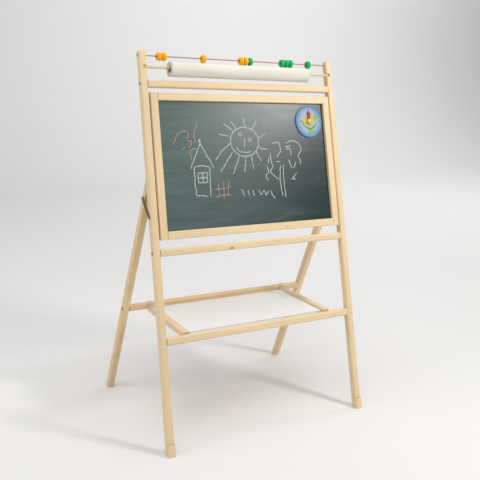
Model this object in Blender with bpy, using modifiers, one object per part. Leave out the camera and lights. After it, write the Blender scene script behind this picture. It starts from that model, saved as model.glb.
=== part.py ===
"""A child's wooden easel with a chalkboard, a paper roll, counting beads and a folding rear frame."""

import math

import bmesh
import bpy
from mathutils import Matrix, Vector

# Driving sizes, in metres and radians.
WIDTH = 0.600            # over the outer sides of the posts
POST = 0.019             # posts and rear legs are square
POST_LENGTH = 0.9825     # along the leaning front face
LEAN = math.radians(14.4)
REAR_LEAN = math.radians(19.9)
HINGE_UP = 0.632         # rear leg hinge, along the post
EDGE = 0.004             # rounding of long wooden edges
GAP = 0.0003             # play between touching pieces
MIDDLE_RAIL_UP = 0.4745  # lower edges of the rails, along the post
MIDDLE_RAIL_HEIGHT = 0.0180
SHELF_RAIL_UP = 0.2600
SHELF_RAIL_HEIGHT = 0.0190
TOP_RAIL_HEIGHT = 0.0185
REAR_RAIL_TOP = 0.2738   # height of its front top edge
REAR_RAIL_HEIGHT = 0.0180
BOARD_OVER_RAIL = 0.0215   # board frame above the middle rail
BOARD_UNDER_RAIL = 0.0125  # board frame below the top rail
BOARD_GAP = 0.0035       # between board frame and posts
FRAME_BAR = 0.0200
BOARD_FRONT = 0.0085     # depth of the writing face behind the frame's front
BOARD_THICK = 0.0040
GROOVE = 0.0060
PIN_INSET = (0.059, 0.043)  # board pins from the frame's bottom and from its top
PIN_RADIUS = 0.0020
ROD_DOWN = 0.0115        # bead rod below the post's top
ROD_RADIUS = 0.0015
BEAD_RADIUS = 0.0110
BEAD_THICK = 0.0130
BEAD_BORE = 0.0025
BEAD_PLAY = 0.0010       # between neighbouring beads of a group
# Groups of beads: place of the middle as a share of half the free rod, then the colours.
BEAD_GROUPS = (
    (-0.8399, ("yellow", "yellow")),
    (-0.4128, ("yellow",)),
    (0.0473, ("yellow", "yellow", "green")),
    (0.5214, ("green", "green", "green")),
    (0.7890, ("green",)),
)
ROLL_CLEAR = 0.0017      # between the roll and the beads above it
ROLL_OVER_RAIL = 0.0098  # between the roll and the top rail
DOWEL_IN = 0.0065
DOWEL_RADIUS = 0.0035
ROLL_LENGTH = 0.428
ROLL_SHIFT = -0.0023
ROLL_RADIUS = 0.0195
CORE_RADIUS = 0.0085
CORE_BORE = 0.0070
SHELF_TOP = 0.2700
SHELF_INSET = 0.0517     # outer side of the shelf from the post's inner side
SHELF_BAR = 0.0185
SHELF_BAR_HEIGHT = 0.0150
SHELF_PIVOT = 0.2735     # height of the shelf hinge
PANEL_DROP = 0.0050
PANEL_THICK = 0.0035
LEDGE = 0.0060           # under each side of the panel
CLOCK_INSET = (0.0065, 0.0050)  # dial's rim from the board opening's right side and top
CLOCK_RADIUS = 0.0450
CLOCK_THICK = 0.0028
HOUR_HAND = (0.0290, 0.0085)  # length and width
MINUTE_HAND = (0.0310, 0.0105)
HAND_THICK = 0.0007
HAND_HUB = 0.0062
HAND_BORE = 0.0027
KNOB_RADIUS = 0.0080
KNOB_HIGH = 0.0066
KNOB_SHANK = 0.0024
STAY_POST_DOWN = 0.0600  # stay screws below the hinge
STAY_LEG_DOWN = 0.0220
STAY_WIDTH = 0.0100
STAY_THICK = 0.0015
SLOT_WIDTH = 0.0058
FOLD = math.radians(30)
SCREW_RADIUS = 0.0020
FOOT_HEIGHT = 0.030
FOOT_PROUD = 0.0025

# Sizes that follow from them.
HALF = WIDTH / 2
INNER = HALF - POST
OPEN = LEAN + REAR_LEAN
RAIL_DEPTH = POST - 0.0025
FRAME_DEPTH = POST - 0.0020
REAR_RAIL_DEPTH = POST - 0.0050
MIDDLE_RAIL = (MIDDLE_RAIL_UP, MIDDLE_RAIL_UP + MIDDLE_RAIL_HEIGHT)
SHELF_RAIL = (SHELF_RAIL_UP, SHELF_RAIL_UP + SHELF_RAIL_HEIGHT)
ROD_UP = POST_LENGTH - ROD_DOWN
CORE_DROP = CORE_BORE - DOWEL_RADIUS - GAP
DOWEL_UP = ROD_UP - BEAD_RADIUS - ROLL_RADIUS + CORE_DROP - ROLL_CLEAR
TOP_RAIL_TOP = DOWEL_UP - CORE_DROP - ROLL_RADIUS - ROLL_OVER_RAIL
TOP_RAIL = (TOP_RAIL_TOP - TOP_RAIL_HEIGHT, TOP_RAIL_TOP)
BOARD_BOTTOM = MIDDLE_RAIL[1] + BOARD_OVER_RAIL
BOARD_TOP = TOP_RAIL[0] - BOARD_UNDER_RAIL
FRAME_HALF = INNER - BOARD_GAP
PIN_UP = (BOARD_BOTTOM + PIN_INSET[0], BOARD_TOP - PIN_INSET[1])
PIN_DEPTH = 0.34 * POST      # into the post
DOWEL_DEPTH = 0.55 * POST
ROD_DEPTH = 0.65 * POST
STAY_SCREW_DEPTH = 0.52 * POST
STAY_POST = (STAY_POST_DOWN, POST / 2)
STAY_LEG = (STAY_LEG_DOWN, POST / 2)
SHELF_HALF = INNER - SHELF_INSET
CLOCK_AT = (
    FRAME_HALF - FRAME_BAR - CLOCK_RADIUS - CLOCK_INSET[0],
    BOARD_TOP - FRAME_BAR - CLOCK_RADIUS - CLOCK_INSET[1],
)
BEADS = tuple(
    (color, share * INNER + (i - (len(colors) - 1) / 2) * (BEAD_THICK + BEAD_PLAY))
    for share, colors in BEAD_GROUPS
    for i, color in enumerate(colors)
)


def clear_scene():
    for item in list(bpy.data.objects):
        bpy.data.objects.remove(item, do_unlink=True)


def make_collection(name, hidden=False):
    made = bpy.data.collections.new(name)
    bpy.context.scene.collection.children.link(made)
    made.hide_render = hidden
    return made


def make_material(name, color, roughness, metallic=0.0):
    made = bpy.data.materials.new(name)
    made.use_nodes = True
    shader = made.node_tree.nodes["Principled BSDF"]
    shader.inputs["Base Color"].default_value = (*color, 1.0)
    shader.inputs["Roughness"].default_value = roughness
    shader.inputs["Metallic"].default_value = metallic
    made.diffuse_color = (*color, 1.0)
    return made


def pine(name):
    return make_material(name, (0.80, 0.62, 0.40), 0.5)


def steel(name):
    return make_material(name, (0.42, 0.40, 0.38), 0.35, 1.0)


def brass(name):
    return make_material(name, (0.72, 0.55, 0.25), 0.35, 1.0)


def make_empty(name, location, rotation, parent=None):
    made = bpy.data.objects.new(name, None)
    parts.objects.link(made)
    made.location = location
    made.rotation_euler = rotation
    made.parent = parent
    return made


def finish(name, mesh, material, parent, location=(0, 0, 0), rotation=(0, 0, 0), smooth=True):
    made = bpy.data.objects.new(name, mesh)
    parts.objects.link(made)
    made.location = location
    made.rotation_euler = rotation
    made.parent = parent
    mesh.materials.append(material)
    mesh.polygons.foreach_set("use_smooth", [smooth] * len(mesh.polygons))
    return made


def mesh_of(shape, name):
    bmesh.ops.recalc_face_normals(shape, faces=shape.faces)
    mesh = bpy.data.meshes.new(name)
    shape.to_mesh(mesh)
    shape.free()
    return mesh


def prism_mesh(name, outline, x0, x1, sides=(), corners=(), rims=()):
    """Outline points are (y, z). Sides and corners name the outline edges and points that are rounded."""
    shape = bmesh.new()
    weights = shape.edges.layers.float.new("bevel_weight_edge")
    rings = [[shape.verts.new((x, y, z)) for y, z in outline] for x in (x0, x1)]
    count = len(outline)
    for ring in rings:
        shape.faces.new(ring)
    for i in range(count):
        j = (i + 1) % count
        shape.faces.new((rings[0][i], rings[0][j], rings[1][j], rings[1][i]))
    for ring in rings:
        for i in sides:
            edge = shape.edges.get((ring[i], ring[(i + 1) % count]))
            edge[weights] = 1.0
    for i in rims:
        for ring in rings:
            shape.edges.get((ring[i], ring[(i + 1) % count]))[weights] = 1.0
    for i in corners:
        shape.edges.get((rings[0][i], rings[1][i]))[weights] = 1.0
    return mesh_of(shape, name)


def rounding(obj, width, segments=3):
    made = obj.modifiers.new("rounding", "BEVEL")
    made.limit_method = "WEIGHT"
    made.width = width
    made.segments = segments
    made.harden_normals = True
    return made


def bar(name, size_x, size_y, size_z, material, parent, rounded="X", width=EDGE):
    """A straight bar; rounded names the axis that its rounded edges run along."""
    (x0, x1), (y0, y1), (z0, z1) = size_x, size_y, size_z
    outline = [(y0, z0), (y1, z0), (y1, z1), (y0, z1)]
    if rounded == "X":
        mesh = prism_mesh(name, outline, x0, x1, corners=(0, 1, 2, 3))
    elif rounded == "Z":
        mesh = prism_mesh(name, outline, x0, x1, sides=(1, 3))
    else:
        mesh = prism_mesh(name, outline, x0, x1)
    made = finish(name, mesh, material, parent)
    if rounded:
        rounding(made, width)
    return made


def cylinder_mesh(name, radius, x0, x1, steps=16):
    """A cylinder along X."""
    shape = bmesh.new()
    rings = []
    for x in (x0, x1):
        ring = []
        for i in range(steps):
            turn = 2 * math.pi * (i + 0.5) / steps
            ring.append(shape.verts.new((x, radius * math.cos(turn), radius * math.sin(turn))))
        rings.append(ring)
    for ring in rings:
        shape.faces.new(ring)
    for i in range(steps):
        j = (i + 1) % steps
        shape.faces.new((rings[0][i], rings[0][j], rings[1][j], rings[1][i]))
    return mesh_of(shape, name)


def turned_mesh(name, profile, steps, axis="X"):
    """A closed profile of (distance along the axis, radius) turned about the axis."""
    shape = bmesh.new()
    rings = []
    for along, radius in profile:
        if radius == 0:
            rings.append([shape.verts.new((along, 0, 0))])
            continue
        ring = []
        for i in range(steps):
            turn = 2 * math.pi * i / steps
            ring.append(shape.verts.new((along, radius * math.cos(turn), radius * math.sin(turn))))
        rings.append(ring)
    pairs = list(zip(rings, rings[1:]))
    if profile[0][1] > 0 and profile[-1][1] > 0:
        pairs.append((rings[-1], rings[0]))
    for first, second in pairs:
        for i in range(steps):
            j = (i + 1) % steps
            if len(first) == 1:
                shape.faces.new((first[0], second[j], second[i]))
            elif len(second) == 1:
                shape.faces.new((first[i], first[j], second[0]))
            else:
                shape.faces.new((first[i], first[j], second[j], second[i]))
    if axis == "Y":
        shape.transform(Matrix.Rotation(math.radians(90), 4, "Z"))
    return mesh_of(shape, name)


def cut(obj, mesh, parent, location=(0, 0, 0), rotation=(0, 0, 0), operation="DIFFERENCE"):
    tool = bpy.data.objects.new("cutter_" + obj.name, mesh)
    cutters.objects.link(tool)
    tool.parent = parent
    tool.location = location
    tool.rotation_euler = rotation
    tool.hide_render = True
    tool.display_type = "WIRE"
    made = obj.modifiers.new("cut", "BOOLEAN")
    made.operation = operation
    made.solver = "EXACT"
    made.object = tool
    return made


def cut_hole(obj, parent, radius, x0, x1, y, z, steps=16):
    cut(obj, cylinder_mesh("hole", radius, x0, x1, steps), parent, (0, y, z))


def cut_box(obj, parent, size_x, size_y, size_z):
    (x0, x1), (y0, y1), (z0, z1) = size_x, size_y, size_z
    cut(obj, prism_mesh("pocket", [(y0, z0), (y1, z0), (y1, z1), (y0, z1)], x0, x1), parent)


def spread(side, near, far):
    """An interval of x on the left (-1) or right (+1), from distances off the centre."""
    return (side * near, side * far) if side > 0 else (side * far, side * near)


def front_point(along, depth):
    """(y, z) of a point given along the post and behind its front face."""
    return (
        along * math.sin(LEAN) + depth * math.cos(LEAN),
        along * math.cos(LEAN) - depth * math.sin(LEAN),
    )


def hinge_point():
    return front_point(HINGE_UP, POST)


def leg_height(depth, height):
    """Distance along the rear leg from the hinge line, downwards negative, at a height above the floor."""
    return (height - hinge_point()[1] - depth * math.sin(REAR_LEAN)) / math.cos(REAR_LEAN)


def leg_plane(height):
    """y of the rear leg's front face at a height."""
    y, z = hinge_point()
    return y + (z - height) * math.tan(REAR_LEAN)


def middle_y():
    """y halfway between the frontmost and rearmost points of the feet."""
    front = front_point(-FOOT_PROUD * math.tan(LEAN), -FOOT_PROUD)[0]
    down = leg_height(POST, 0)
    rear = hinge_point()[0] + POST * math.cos(REAR_LEAN) - down * math.sin(REAR_LEAN)
    return (front + rear) / 2


def screw_mesh(name, side, head_at, shank, head_radius=0.0042, head=0.0018, radius=SCREW_RADIUS):
    """A domed head standing out from x = side * head_at, with its shank running inwards."""
    inward = -side
    profile = [
        (-inward * head, 0),
        (-inward * head, head_radius * 0.55),
        (-inward * head * 0.55, head_radius * 0.92),
        (0, head_radius),
        (0, radius),
        (inward * shank, radius),
        (inward * (shank + radius), 0),
    ]
    mesh = turned_mesh(name, profile, 16)
    mesh.transform(Matrix.Translation((side * head_at, 0, 0)))
    return mesh


def make_post(side, name):
    wood = pine(name)
    bottom_front = 0.0
    bottom_rear = POST * math.tan(LEAN)
    x = spread(side, INNER, HALF)
    outline = [(0, bottom_front), (POST, bottom_rear), (POST, POST_LENGTH), (0, POST_LENGTH)]
    mesh = prism_mesh(name, outline, *x, sides=(1, 2, 3), corners=(2, 3))
    post = finish(name, mesh, wood, front)
    rounding(post, EDGE)
    proud = -FOOT_PROUD
    foot = prism_mesh(
        "foot",
        [
            (proud, proud * math.tan(LEAN)),
            (POST / 2, POST / 2 * math.tan(LEAN)),
            (POST / 2, FOOT_HEIGHT),
            (proud, FOOT_HEIGHT),
        ],
        x[0] + 0.0012,
        x[1] - 0.0012,
    )
    cut(post, foot, front, operation="UNION")
    groove = (FOOT_HEIGHT + 0.0002, FOOT_HEIGHT + 0.0012)
    for reach in ((-0.01, 0.0010), (POST - 0.0010, POST + 0.01)):
        cut_box(post, front, (x[0] - 0.01, x[1] + 0.01), reach, groove)
    for reach in ((x[0] - 0.01, x[0] + 0.0010), (x[1] - 0.0010, x[1] + 0.01)):
        cut_box(post, front, reach, (-0.01, POST + 0.01), groove)
    rod_reach = (INNER - 0.01, HALF + 0.01) if side < 0 else (INNER - 0.01, INNER + ROD_DEPTH)
    cut_hole(post, front, ROD_RADIUS + GAP, *spread(side, *rod_reach), POST / 2, ROD_UP, 12)
    slot = DOWEL_RADIUS + GAP
    inner = spread(side, INNER - 0.01, INNER + DOWEL_DEPTH)
    cut_hole(post, front, slot, *inner, DOWEL_IN, DOWEL_UP, 20)
    cut_box(post, front, inner, (-0.01, DOWEL_IN), (DOWEL_UP - slot, DOWEL_UP + slot))
    for low, high in (TOP_RAIL, MIDDLE_RAIL):
        hole = spread(side, INNER - 0.01, HALF + 0.01)
        cut_hole(post, front, SCREW_RADIUS + GAP, *hole, RAIL_DEPTH / 2, (low + high) / 2)
    for up in PIN_UP:
        hole = spread(side, INNER - 0.01, INNER + PIN_DEPTH)
        cut_hole(post, front, PIN_RADIUS + GAP, *hole, FRAME_DEPTH / 2, up)
    hole = spread(side, HALF - STAY_SCREW_DEPTH, HALF + 0.01)
    cut_hole(post, front, SCREW_RADIUS + GAP, *hole, STAY_POST[1], HINGE_UP - STAY_POST[0])
    across = spread(side, INNER - 0.01, HALF + 0.01)
    cut_hole(post, front, 0.0031, *across, POST, HINGE_UP, 20)
    cut_box(post, front, across, (POST - 0.0014, POST + 0.01), (HINGE_UP - 0.0243, HINGE_UP - 0.0005))
    return post


def make_front_rails():
    rails = {"top_rail": TOP_RAIL, "middle_rail": MIDDLE_RAIL, "shelf_front_rail": SHELF_RAIL}
    for name, (low, high) in rails.items():
        reach = INNER - GAP
        rail = bar(name, (-reach, reach), (0, RAIL_DEPTH), (low, high), pine(name), front)
        if name == "shelf_front_rail":
            continue
        for side in (-1, 1):
            hole = spread(side, reach - 0.024, reach + 0.01)
            cut_hole(rail, front, SCREW_RADIUS + GAP, *hole, RAIL_DEPTH / 2, (low + high) / 2)
            word = "left" if side < 0 else "right"
            screw = f"{name}_screw_{word}"
            mesh = screw_mesh(screw, side, HALF + GAP, POST + 0.020)
            finish(screw, mesh, steel(screw), front, (0, RAIL_DEPTH / 2, (low + high) / 2))


def make_board():
    reach = FRAME_HALF
    inside = reach - FRAME_BAR
    groove_y = (BOARD_FRONT - GAP, BOARD_FRONT + BOARD_THICK + GAP)
    for side, word in ((-1, "left"), (1, "right")):
        name = f"board_stile_{word}"
        across = spread(side, inside, reach)
        stile = bar(name, across, (0, FRAME_DEPTH), (BOARD_BOTTOM, BOARD_TOP), pine(name), front, "Z", 0.002)
        groove_x = spread(side, inside - 0.01, inside + GROOVE)
        cut_box(stile, front, groove_x, groove_y, (BOARD_BOTTOM + 0.01, BOARD_TOP - 0.01))
        for i, up in enumerate(PIN_UP):
            hole = spread(side, reach - 0.0085, reach + 0.01)
            cut_hole(stile, front, PIN_RADIUS + GAP, *hole, FRAME_DEPTH / 2, up)
            pin = f"board_pin_{word}_{'low' if i == 0 else 'high'}"
            x0, x1 = spread(side, reach - 0.008, INNER + PIN_DEPTH - 0.0005)
            mesh = cylinder_mesh(pin, PIN_RADIUS, x0, x1, 16)
            finish(pin, mesh, pine(pin), front, (0, FRAME_DEPTH / 2, up))
    sill = BOARD_BOTTOM + FRAME_BAR
    head = BOARD_TOP - FRAME_BAR
    for name, low, high, cut_z in (
        ("board_rail_bottom", BOARD_BOTTOM, sill, (sill - GROOVE, sill + 0.01)),
        ("board_rail_top", head, BOARD_TOP, (head - 0.01, head + GROOVE)),
    ):
        span = inside - GAP
        rail = bar(name, (-span, span), (0, FRAME_DEPTH), (low, high), pine(name), front, "X", 0.002)
        cut_box(rail, front, (-span - 0.01, span + 0.01), groove_y, cut_z)
    wide = inside + GROOVE - GAP
    slate = make_material("writing_board", (0.07, 0.10, 0.10), 0.6)
    faces = (BOARD_FRONT, BOARD_FRONT + BOARD_THICK)
    ends = (sill - GROOVE + GAP, head + GROOVE - GAP)
    bar("writing_board", (-wide, wide), faces, ends, slate, front, "")


def make_clock():
    x, up = CLOCK_AT
    face = BOARD_FRONT - GAP
    dial_color = make_material("clock_dial", (0.75, 0.85, 0.90), 0.5)
    r, t = CLOCK_RADIUS, CLOCK_THICK
    profile = [(0.0012, 0), (0.0012, 0.0027), (0, 0.0027), (0, r - 0.0008), (0.0008, r), (t, r), (t, 0)]
    dial = turned_mesh("clock_dial", profile, 48, "Y")
    finish("clock_dial", dial, dial_color, front, (x, face - t, up))
    top = face - t
    cap, high = KNOB_RADIUS, KNOB_HIGH
    knob_profile = [
        (-high, 0), (-high * 0.94, cap * 0.56), (-high * 0.76, cap * 0.90), (-high * 0.54, cap),
        (-0.0023, cap * 0.92), (-0.0023, KNOB_SHANK), (0.0009, KNOB_SHANK), (0.0009, 0),
    ]
    knob = turned_mesh("clock_knob", knob_profile, 24, "Y")
    finish("clock_knob", knob, make_material("clock_knob", (0.95, 0.70, 0.08), 0.35), front, (x, top, up))
    for name, lift, (length, wide), color, turn in (
        ("hour_hand", 0.0003, HOUR_HAND, (0.93, 0.68, 0.10), -90),
        ("minute_hand", 0.0013, MINUTE_HAND, (0.75, 0.08, 0.06), 0),
    ):
        outline = []
        for i in range(9):
            a = math.radians(150 + 240 * i / 8)
            outline.append((HAND_HUB * math.cos(a), HAND_HUB * math.sin(a)))
        outline += [
            (wide * 0.42, length * 0.55), (wide * 0.70, length * 0.60), (0, length),
            (-wide * 0.70, length * 0.60), (-wide * 0.42, length * 0.55),
        ]
        shape = bmesh.new()
        rings = [[shape.verts.new((px, y, pz)) for px, pz in outline] for y in (0, -HAND_THICK)]
        for ring in rings:
            shape.faces.new(ring)
        for i in range(len(outline)):
            j = (i + 1) % len(outline)
            shape.faces.new((rings[0][i], rings[0][j], rings[1][j], rings[1][i]))
        mesh = mesh_of(shape, name)
        plastic = make_material(name, color, 0.4)
        pointing = (0, math.radians(turn), 0)
        hand = finish(name, mesh, plastic, front, (x, top - lift, up), pointing, False)
        bore_profile = [(-0.01, 0), (-0.01, HAND_BORE), (0.01, HAND_BORE), (0.01, 0)]
        hole = turned_mesh("hand_hole", bore_profile, 20, "Y")
        cut(hand, hole, front, (x, top, up))


def make_rod_and_beads():
    name = "bead_rod"
    head = HALF + GAP
    end = INNER + ROD_DEPTH - 0.0005
    profile = [
        (-head - 0.0016, 0), (-head - 0.0016, 0.0022), (-head - 0.0010, 0.0036), (-head, 0.0040),
        (-head, ROD_RADIUS), (end, ROD_RADIUS), (end, 0),
    ]
    wire = make_material(name, (0.45, 0.25, 0.18), 0.4, 0.6)
    finish(name, turned_mesh(name, profile, 12), wire, front, (0, POST / 2, ROD_UP))
    half = BEAD_THICK / 2
    big = BEAD_RADIUS
    profile = [
        (-half, BEAD_BORE), (-half, big * 0.50), (-half * 0.86, big * 0.74), (-half * 0.52, big * 0.93),
        (0, big), (half * 0.52, big * 0.93), (half * 0.86, big * 0.74), (half, big * 0.50), (half, BEAD_BORE),
    ]
    drop = BEAD_BORE - ROD_RADIUS - GAP
    y, z = front_point(ROD_UP, POST / 2)
    for i, (color, x) in enumerate(BEADS):
        name = f"bead_{i + 1:02d}_{color}"
        shade = (0.95, 0.62, 0.05) if color == "yellow" else (0.06, 0.42, 0.22)
        mesh = turned_mesh(name, profile, 28)
        finish(name, mesh, make_material(name, shade, 0.25), easel, (x, y, z - drop))


def make_roll():
    reach = INNER + DOWEL_DEPTH - 0.0005
    y, z = front_point(DOWEL_UP, DOWEL_IN)
    profile = [
        (-reach, 0), (-reach, DOWEL_RADIUS - 0.0006), (-reach + 0.0006, DOWEL_RADIUS),
        (reach - 0.0006, DOWEL_RADIUS), (reach, DOWEL_RADIUS - 0.0006), (reach, 0),
    ]
    finish("roll_dowel", turned_mesh("roll_dowel", profile, 20), pine("roll_dowel"), easel, (0, y, z))
    half = ROLL_LENGTH / 2
    axis = (ROLL_SHIFT, y, z - CORE_DROP)
    core = turned_mesh(
        "roll_core",
        [(-half, CORE_BORE), (-half, CORE_RADIUS), (half, CORE_RADIUS), (half, CORE_BORE)],
        32,
    )
    finish("roll_core", core, make_material("roll_core", (0.60, 0.48, 0.36), 0.9), easel, axis)
    inside = CORE_RADIUS + GAP
    blunt = 0.0005
    profile = [
        (-half, inside), (-half, ROLL_RADIUS - blunt), (-half + blunt, ROLL_RADIUS),
        (half - blunt, ROLL_RADIUS), (half, ROLL_RADIUS - blunt), (half, inside),
    ]
    paper = turned_mesh("paper_roll", profile, 48)
    finish("paper_roll", paper, make_material("paper_roll", (0.88, 0.85, 0.78), 0.9), easel, axis)


def make_leg(side, name):
    tip = POST / math.tan(OPEN)
    back = GAP / math.sin(OPEN)
    outline = [
        (0, leg_height(0, 0)), (POST, leg_height(POST, 0)), (POST, tip - back), (0, -back),
    ]
    x = spread(side, INNER, HALF)
    mesh = prism_mesh(name, outline, *x, sides=(1, 3))
    leg = finish(name, mesh, pine(name), rear)
    rounding(leg, EDGE)
    across = spread(side, INNER - 0.01, HALF + 0.01)
    cut_hole(leg, rear, 0.0031, *across, 0, 0, 20)
    cut_box(leg, rear, across, (-0.01, 0.0014), (-0.0243, -0.0005))
    hole = spread(side, HALF - STAY_SCREW_DEPTH, HALF + 0.01)
    cut_hole(leg, rear, SCREW_RADIUS + GAP, *hole, STAY_LEG[1], -STAY_LEG[0])
    low = leg_height(0, REAR_RAIL_TOP) - REAR_RAIL_HEIGHT / 2
    cut_hole(leg, rear, SCREW_RADIUS + GAP, *across, REAR_RAIL_DEPTH / 2, low)
    return leg


def make_rear_rail():
    top = leg_height(0, REAR_RAIL_TOP)
    reach = INNER - GAP
    heights = (top - REAR_RAIL_HEIGHT, top)
    rail = bar("rear_rail", (-reach, reach), (0, REAR_RAIL_DEPTH), heights, pine("rear_rail"), rear)
    middle = top - REAR_RAIL_HEIGHT / 2
    for side, word in ((-1, "left"), (1, "right")):
        hole = spread(side, reach - 0.024, reach + 0.01)
        cut_hole(rail, rear, SCREW_RADIUS + GAP, *hole, REAR_RAIL_DEPTH / 2, middle)
        name = f"rear_rail_screw_{word}"
        mesh = screw_mesh(name, side, HALF + GAP, POST + 0.020)
        finish(name, mesh, steel(name), rear, (0, REAR_RAIL_DEPTH / 2, middle))
    return rail


def make_leg_hinge(side, word):
    middle = HALF - POST / 2
    outer = spread(side, middle + 0.0002, HALF - 0.0006)
    inner = spread(side, INNER + 0.0006, middle - 0.0002)
    both = spread(side, INNER + 0.0006, HALF - 0.0006)
    pin = spread(side, INNER + 0.0012, middle + 0.0010)
    name = f"hinge_post_leaf_{word}"
    # The leaf lies in the post's recess and its knuckle carries the pin.
    mesh = prism_mesh(
        name,
        [(-0.0012, -0.0240), (-0.0002, -0.0240), (-0.0002, -0.0006), (-0.0012, -0.0006)],
        *both,
    )
    leaf = finish(name, mesh, brass(name), front, (0, POST, HINGE_UP))
    space = cylinder_mesh("knuckle_space", 0.0030, inner[0] - 0.001, inner[1] + 0.001, 20)
    cut(leaf, space, front, (0, POST, HINGE_UP))
    cut(leaf, cylinder_mesh("knuckle", 0.0025, *outer, 20), front, (0, POST, HINGE_UP), operation="UNION")
    cut(leaf, cylinder_mesh("pin", 0.0010, *pin, 12), front, (0, POST, HINGE_UP), operation="UNION")
    name = f"hinge_leg_leaf_{word}"
    mesh = prism_mesh(
        name,
        [(0.0002, -0.0240), (0.0012, -0.0240), (0.0012, -0.0006), (0.0002, -0.0006)],
        *both,
    )
    leaf = finish(name, mesh, brass(name), rear)
    cut(leaf, cylinder_mesh("knuckle_space", 0.0030, outer[0] - 0.001, outer[1] + 0.001, 20), rear)
    cut(leaf, cylinder_mesh("knuckle", 0.0025, *inner, 20), rear, operation="UNION")
    cut(leaf, cylinder_mesh("bore", 0.0013, inner[0] - 0.01, inner[1] + 0.01, 12), rear)


def stay_line(fold):
    """(distance, angle from straight up the post towards the rear) from the post screw to the leg screw."""
    turn = OPEN - fold
    up = -STAY_LEG[0] * math.cos(turn) + STAY_LEG[1] * math.sin(turn) + STAY_POST[0]
    back = STAY_LEG[0] * math.sin(turn) + STAY_LEG[1] * math.cos(turn) + POST - STAY_POST[1]
    return math.hypot(up, back), math.atan2(back, up)


def make_stay(side, word):
    longest, angle = stay_line(0)
    shortest, _ = stay_line(FOLD)
    name = f"stay_{word}"
    plate = STAY_WIDTH / 2
    tip = longest + SLOT_WIDTH / 2 + 0.0035 - plate
    outline = []
    for i in range(9):
        a = math.pi * i / 8
        outline.append((plate * math.cos(a), tip + plate * math.sin(a)))
    for i in range(9):
        a = math.pi + math.pi * i / 8
        outline.append((plate * math.cos(a), plate * math.sin(a)))
    x = spread(side, HALF + GAP, HALF + GAP + STAY_THICK)
    mesh = prism_mesh(name, outline, *x)
    at = (0, STAY_POST[1], HINGE_UP - STAY_POST[0])
    plate_steel = make_material(name, (0.30, 0.26, 0.23), 0.4, 1.0)
    stay = finish(name, mesh, plate_steel, front, at, (-angle, 0, 0), False)
    reach = spread(side, HALF - 0.01, HALF + 0.02)
    cut(stay, cylinder_mesh("pivot_hole", SCREW_RADIUS + GAP, *reach, 16), front, at, (-angle, 0, 0))
    half = SLOT_WIDTH / 2
    slot = []
    end = longest + SCREW_RADIUS + GAP - half
    start = shortest - 0.0010
    for i in range(9):
        a = math.pi * i / 8
        slot.append((half * math.cos(a), end + half * math.sin(a)))
    for i in range(9):
        a = math.pi + math.pi * i / 8
        slot.append((half * math.cos(a), start + half * math.sin(a)))
    cut(stay, prism_mesh("slot", slot, *reach), front, at, (-angle, 0, 0))
    head_at = HALF + GAP + STAY_THICK + GAP
    name = f"stay_post_screw_{word}"
    shank = STAY_SCREW_DEPTH - 0.0009
    finish(name, screw_mesh(name, side, head_at, shank, 0.0040), steel(name), front, at)
    name = f"stay_leg_screw_{word}"
    at = (0, STAY_LEG[1], -STAY_LEG[0])
    finish(name, screw_mesh(name, side, head_at, shank, 0.0042), steel(name), rear, at)


def make_shelf():
    front_y, _ = front_point(SHELF_RAIL[1], RAIL_DEPTH)
    pivot = Vector((0, leg_plane(SHELF_PIVOT), SHELF_PIVOT))
    top = SHELF_TOP
    low = SHELF_TOP - SHELF_BAR_HEIGHT
    points = [
        (front_y + 0.0006, top), (front_y + 0.0006, top - 0.0010), (front_y + 0.0146, low),
        (leg_plane(low) - 0.0126, low), (leg_plane(low) - 0.0044, low + SHELF_BAR_HEIGHT * 0.4),
        (leg_plane(top) - 0.0006, top - 0.0010), (leg_plane(top) - 0.0006, top),
    ]
    outline = [(y - pivot.y, z - pivot.z) for y, z in points]
    panel_low = top - PANEL_DROP - PANEL_THICK - pivot.z
    panel_high = top - PANEL_DROP - pivot.z
    ledge_top = panel_low - GAP
    share = (ledge_top - outline[2][1]) / (outline[1][1] - outline[2][1])
    ledge = [
        (outline[2][0] + share * (outline[1][0] - outline[2][0]), ledge_top),
        outline[2], outline[3], outline[4], (outline[4][0], ledge_top),
    ]
    for side, word in ((-1, "left"), (1, "right")):
        name = f"shelf_side_{word}"
        x = spread(side, SHELF_HALF - SHELF_BAR, SHELF_HALF)
        mesh = prism_mesh(name, outline, *x, sides=(2, 6))
        rail = finish(name, mesh, pine(name), shelf)
        rounding(rail, 0.0030)
        # The panel lies on a ledge along the rail's inner side.
        reach = spread(side, SHELF_HALF - SHELF_BAR - LEDGE, SHELF_HALF - SHELF_BAR + 0.0045)
        cut(rail, prism_mesh("ledge", ledge, *reach), shelf, operation="UNION")
        make_shelf_hinge(side, word)
    wide = SHELF_HALF - SHELF_BAR - GAP
    name = "shelf_panel"
    white = make_material(name, (0.86, 0.86, 0.85), 0.4)
    rear_end = leg_plane(top - PANEL_DROP) - 0.0090 - pivot.y
    front_end = front_y + 0.0120 - pivot.y
    bar(name, (-wide, wide), (front_end, rear_end), (panel_low, panel_high), white, shelf, "")


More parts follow.
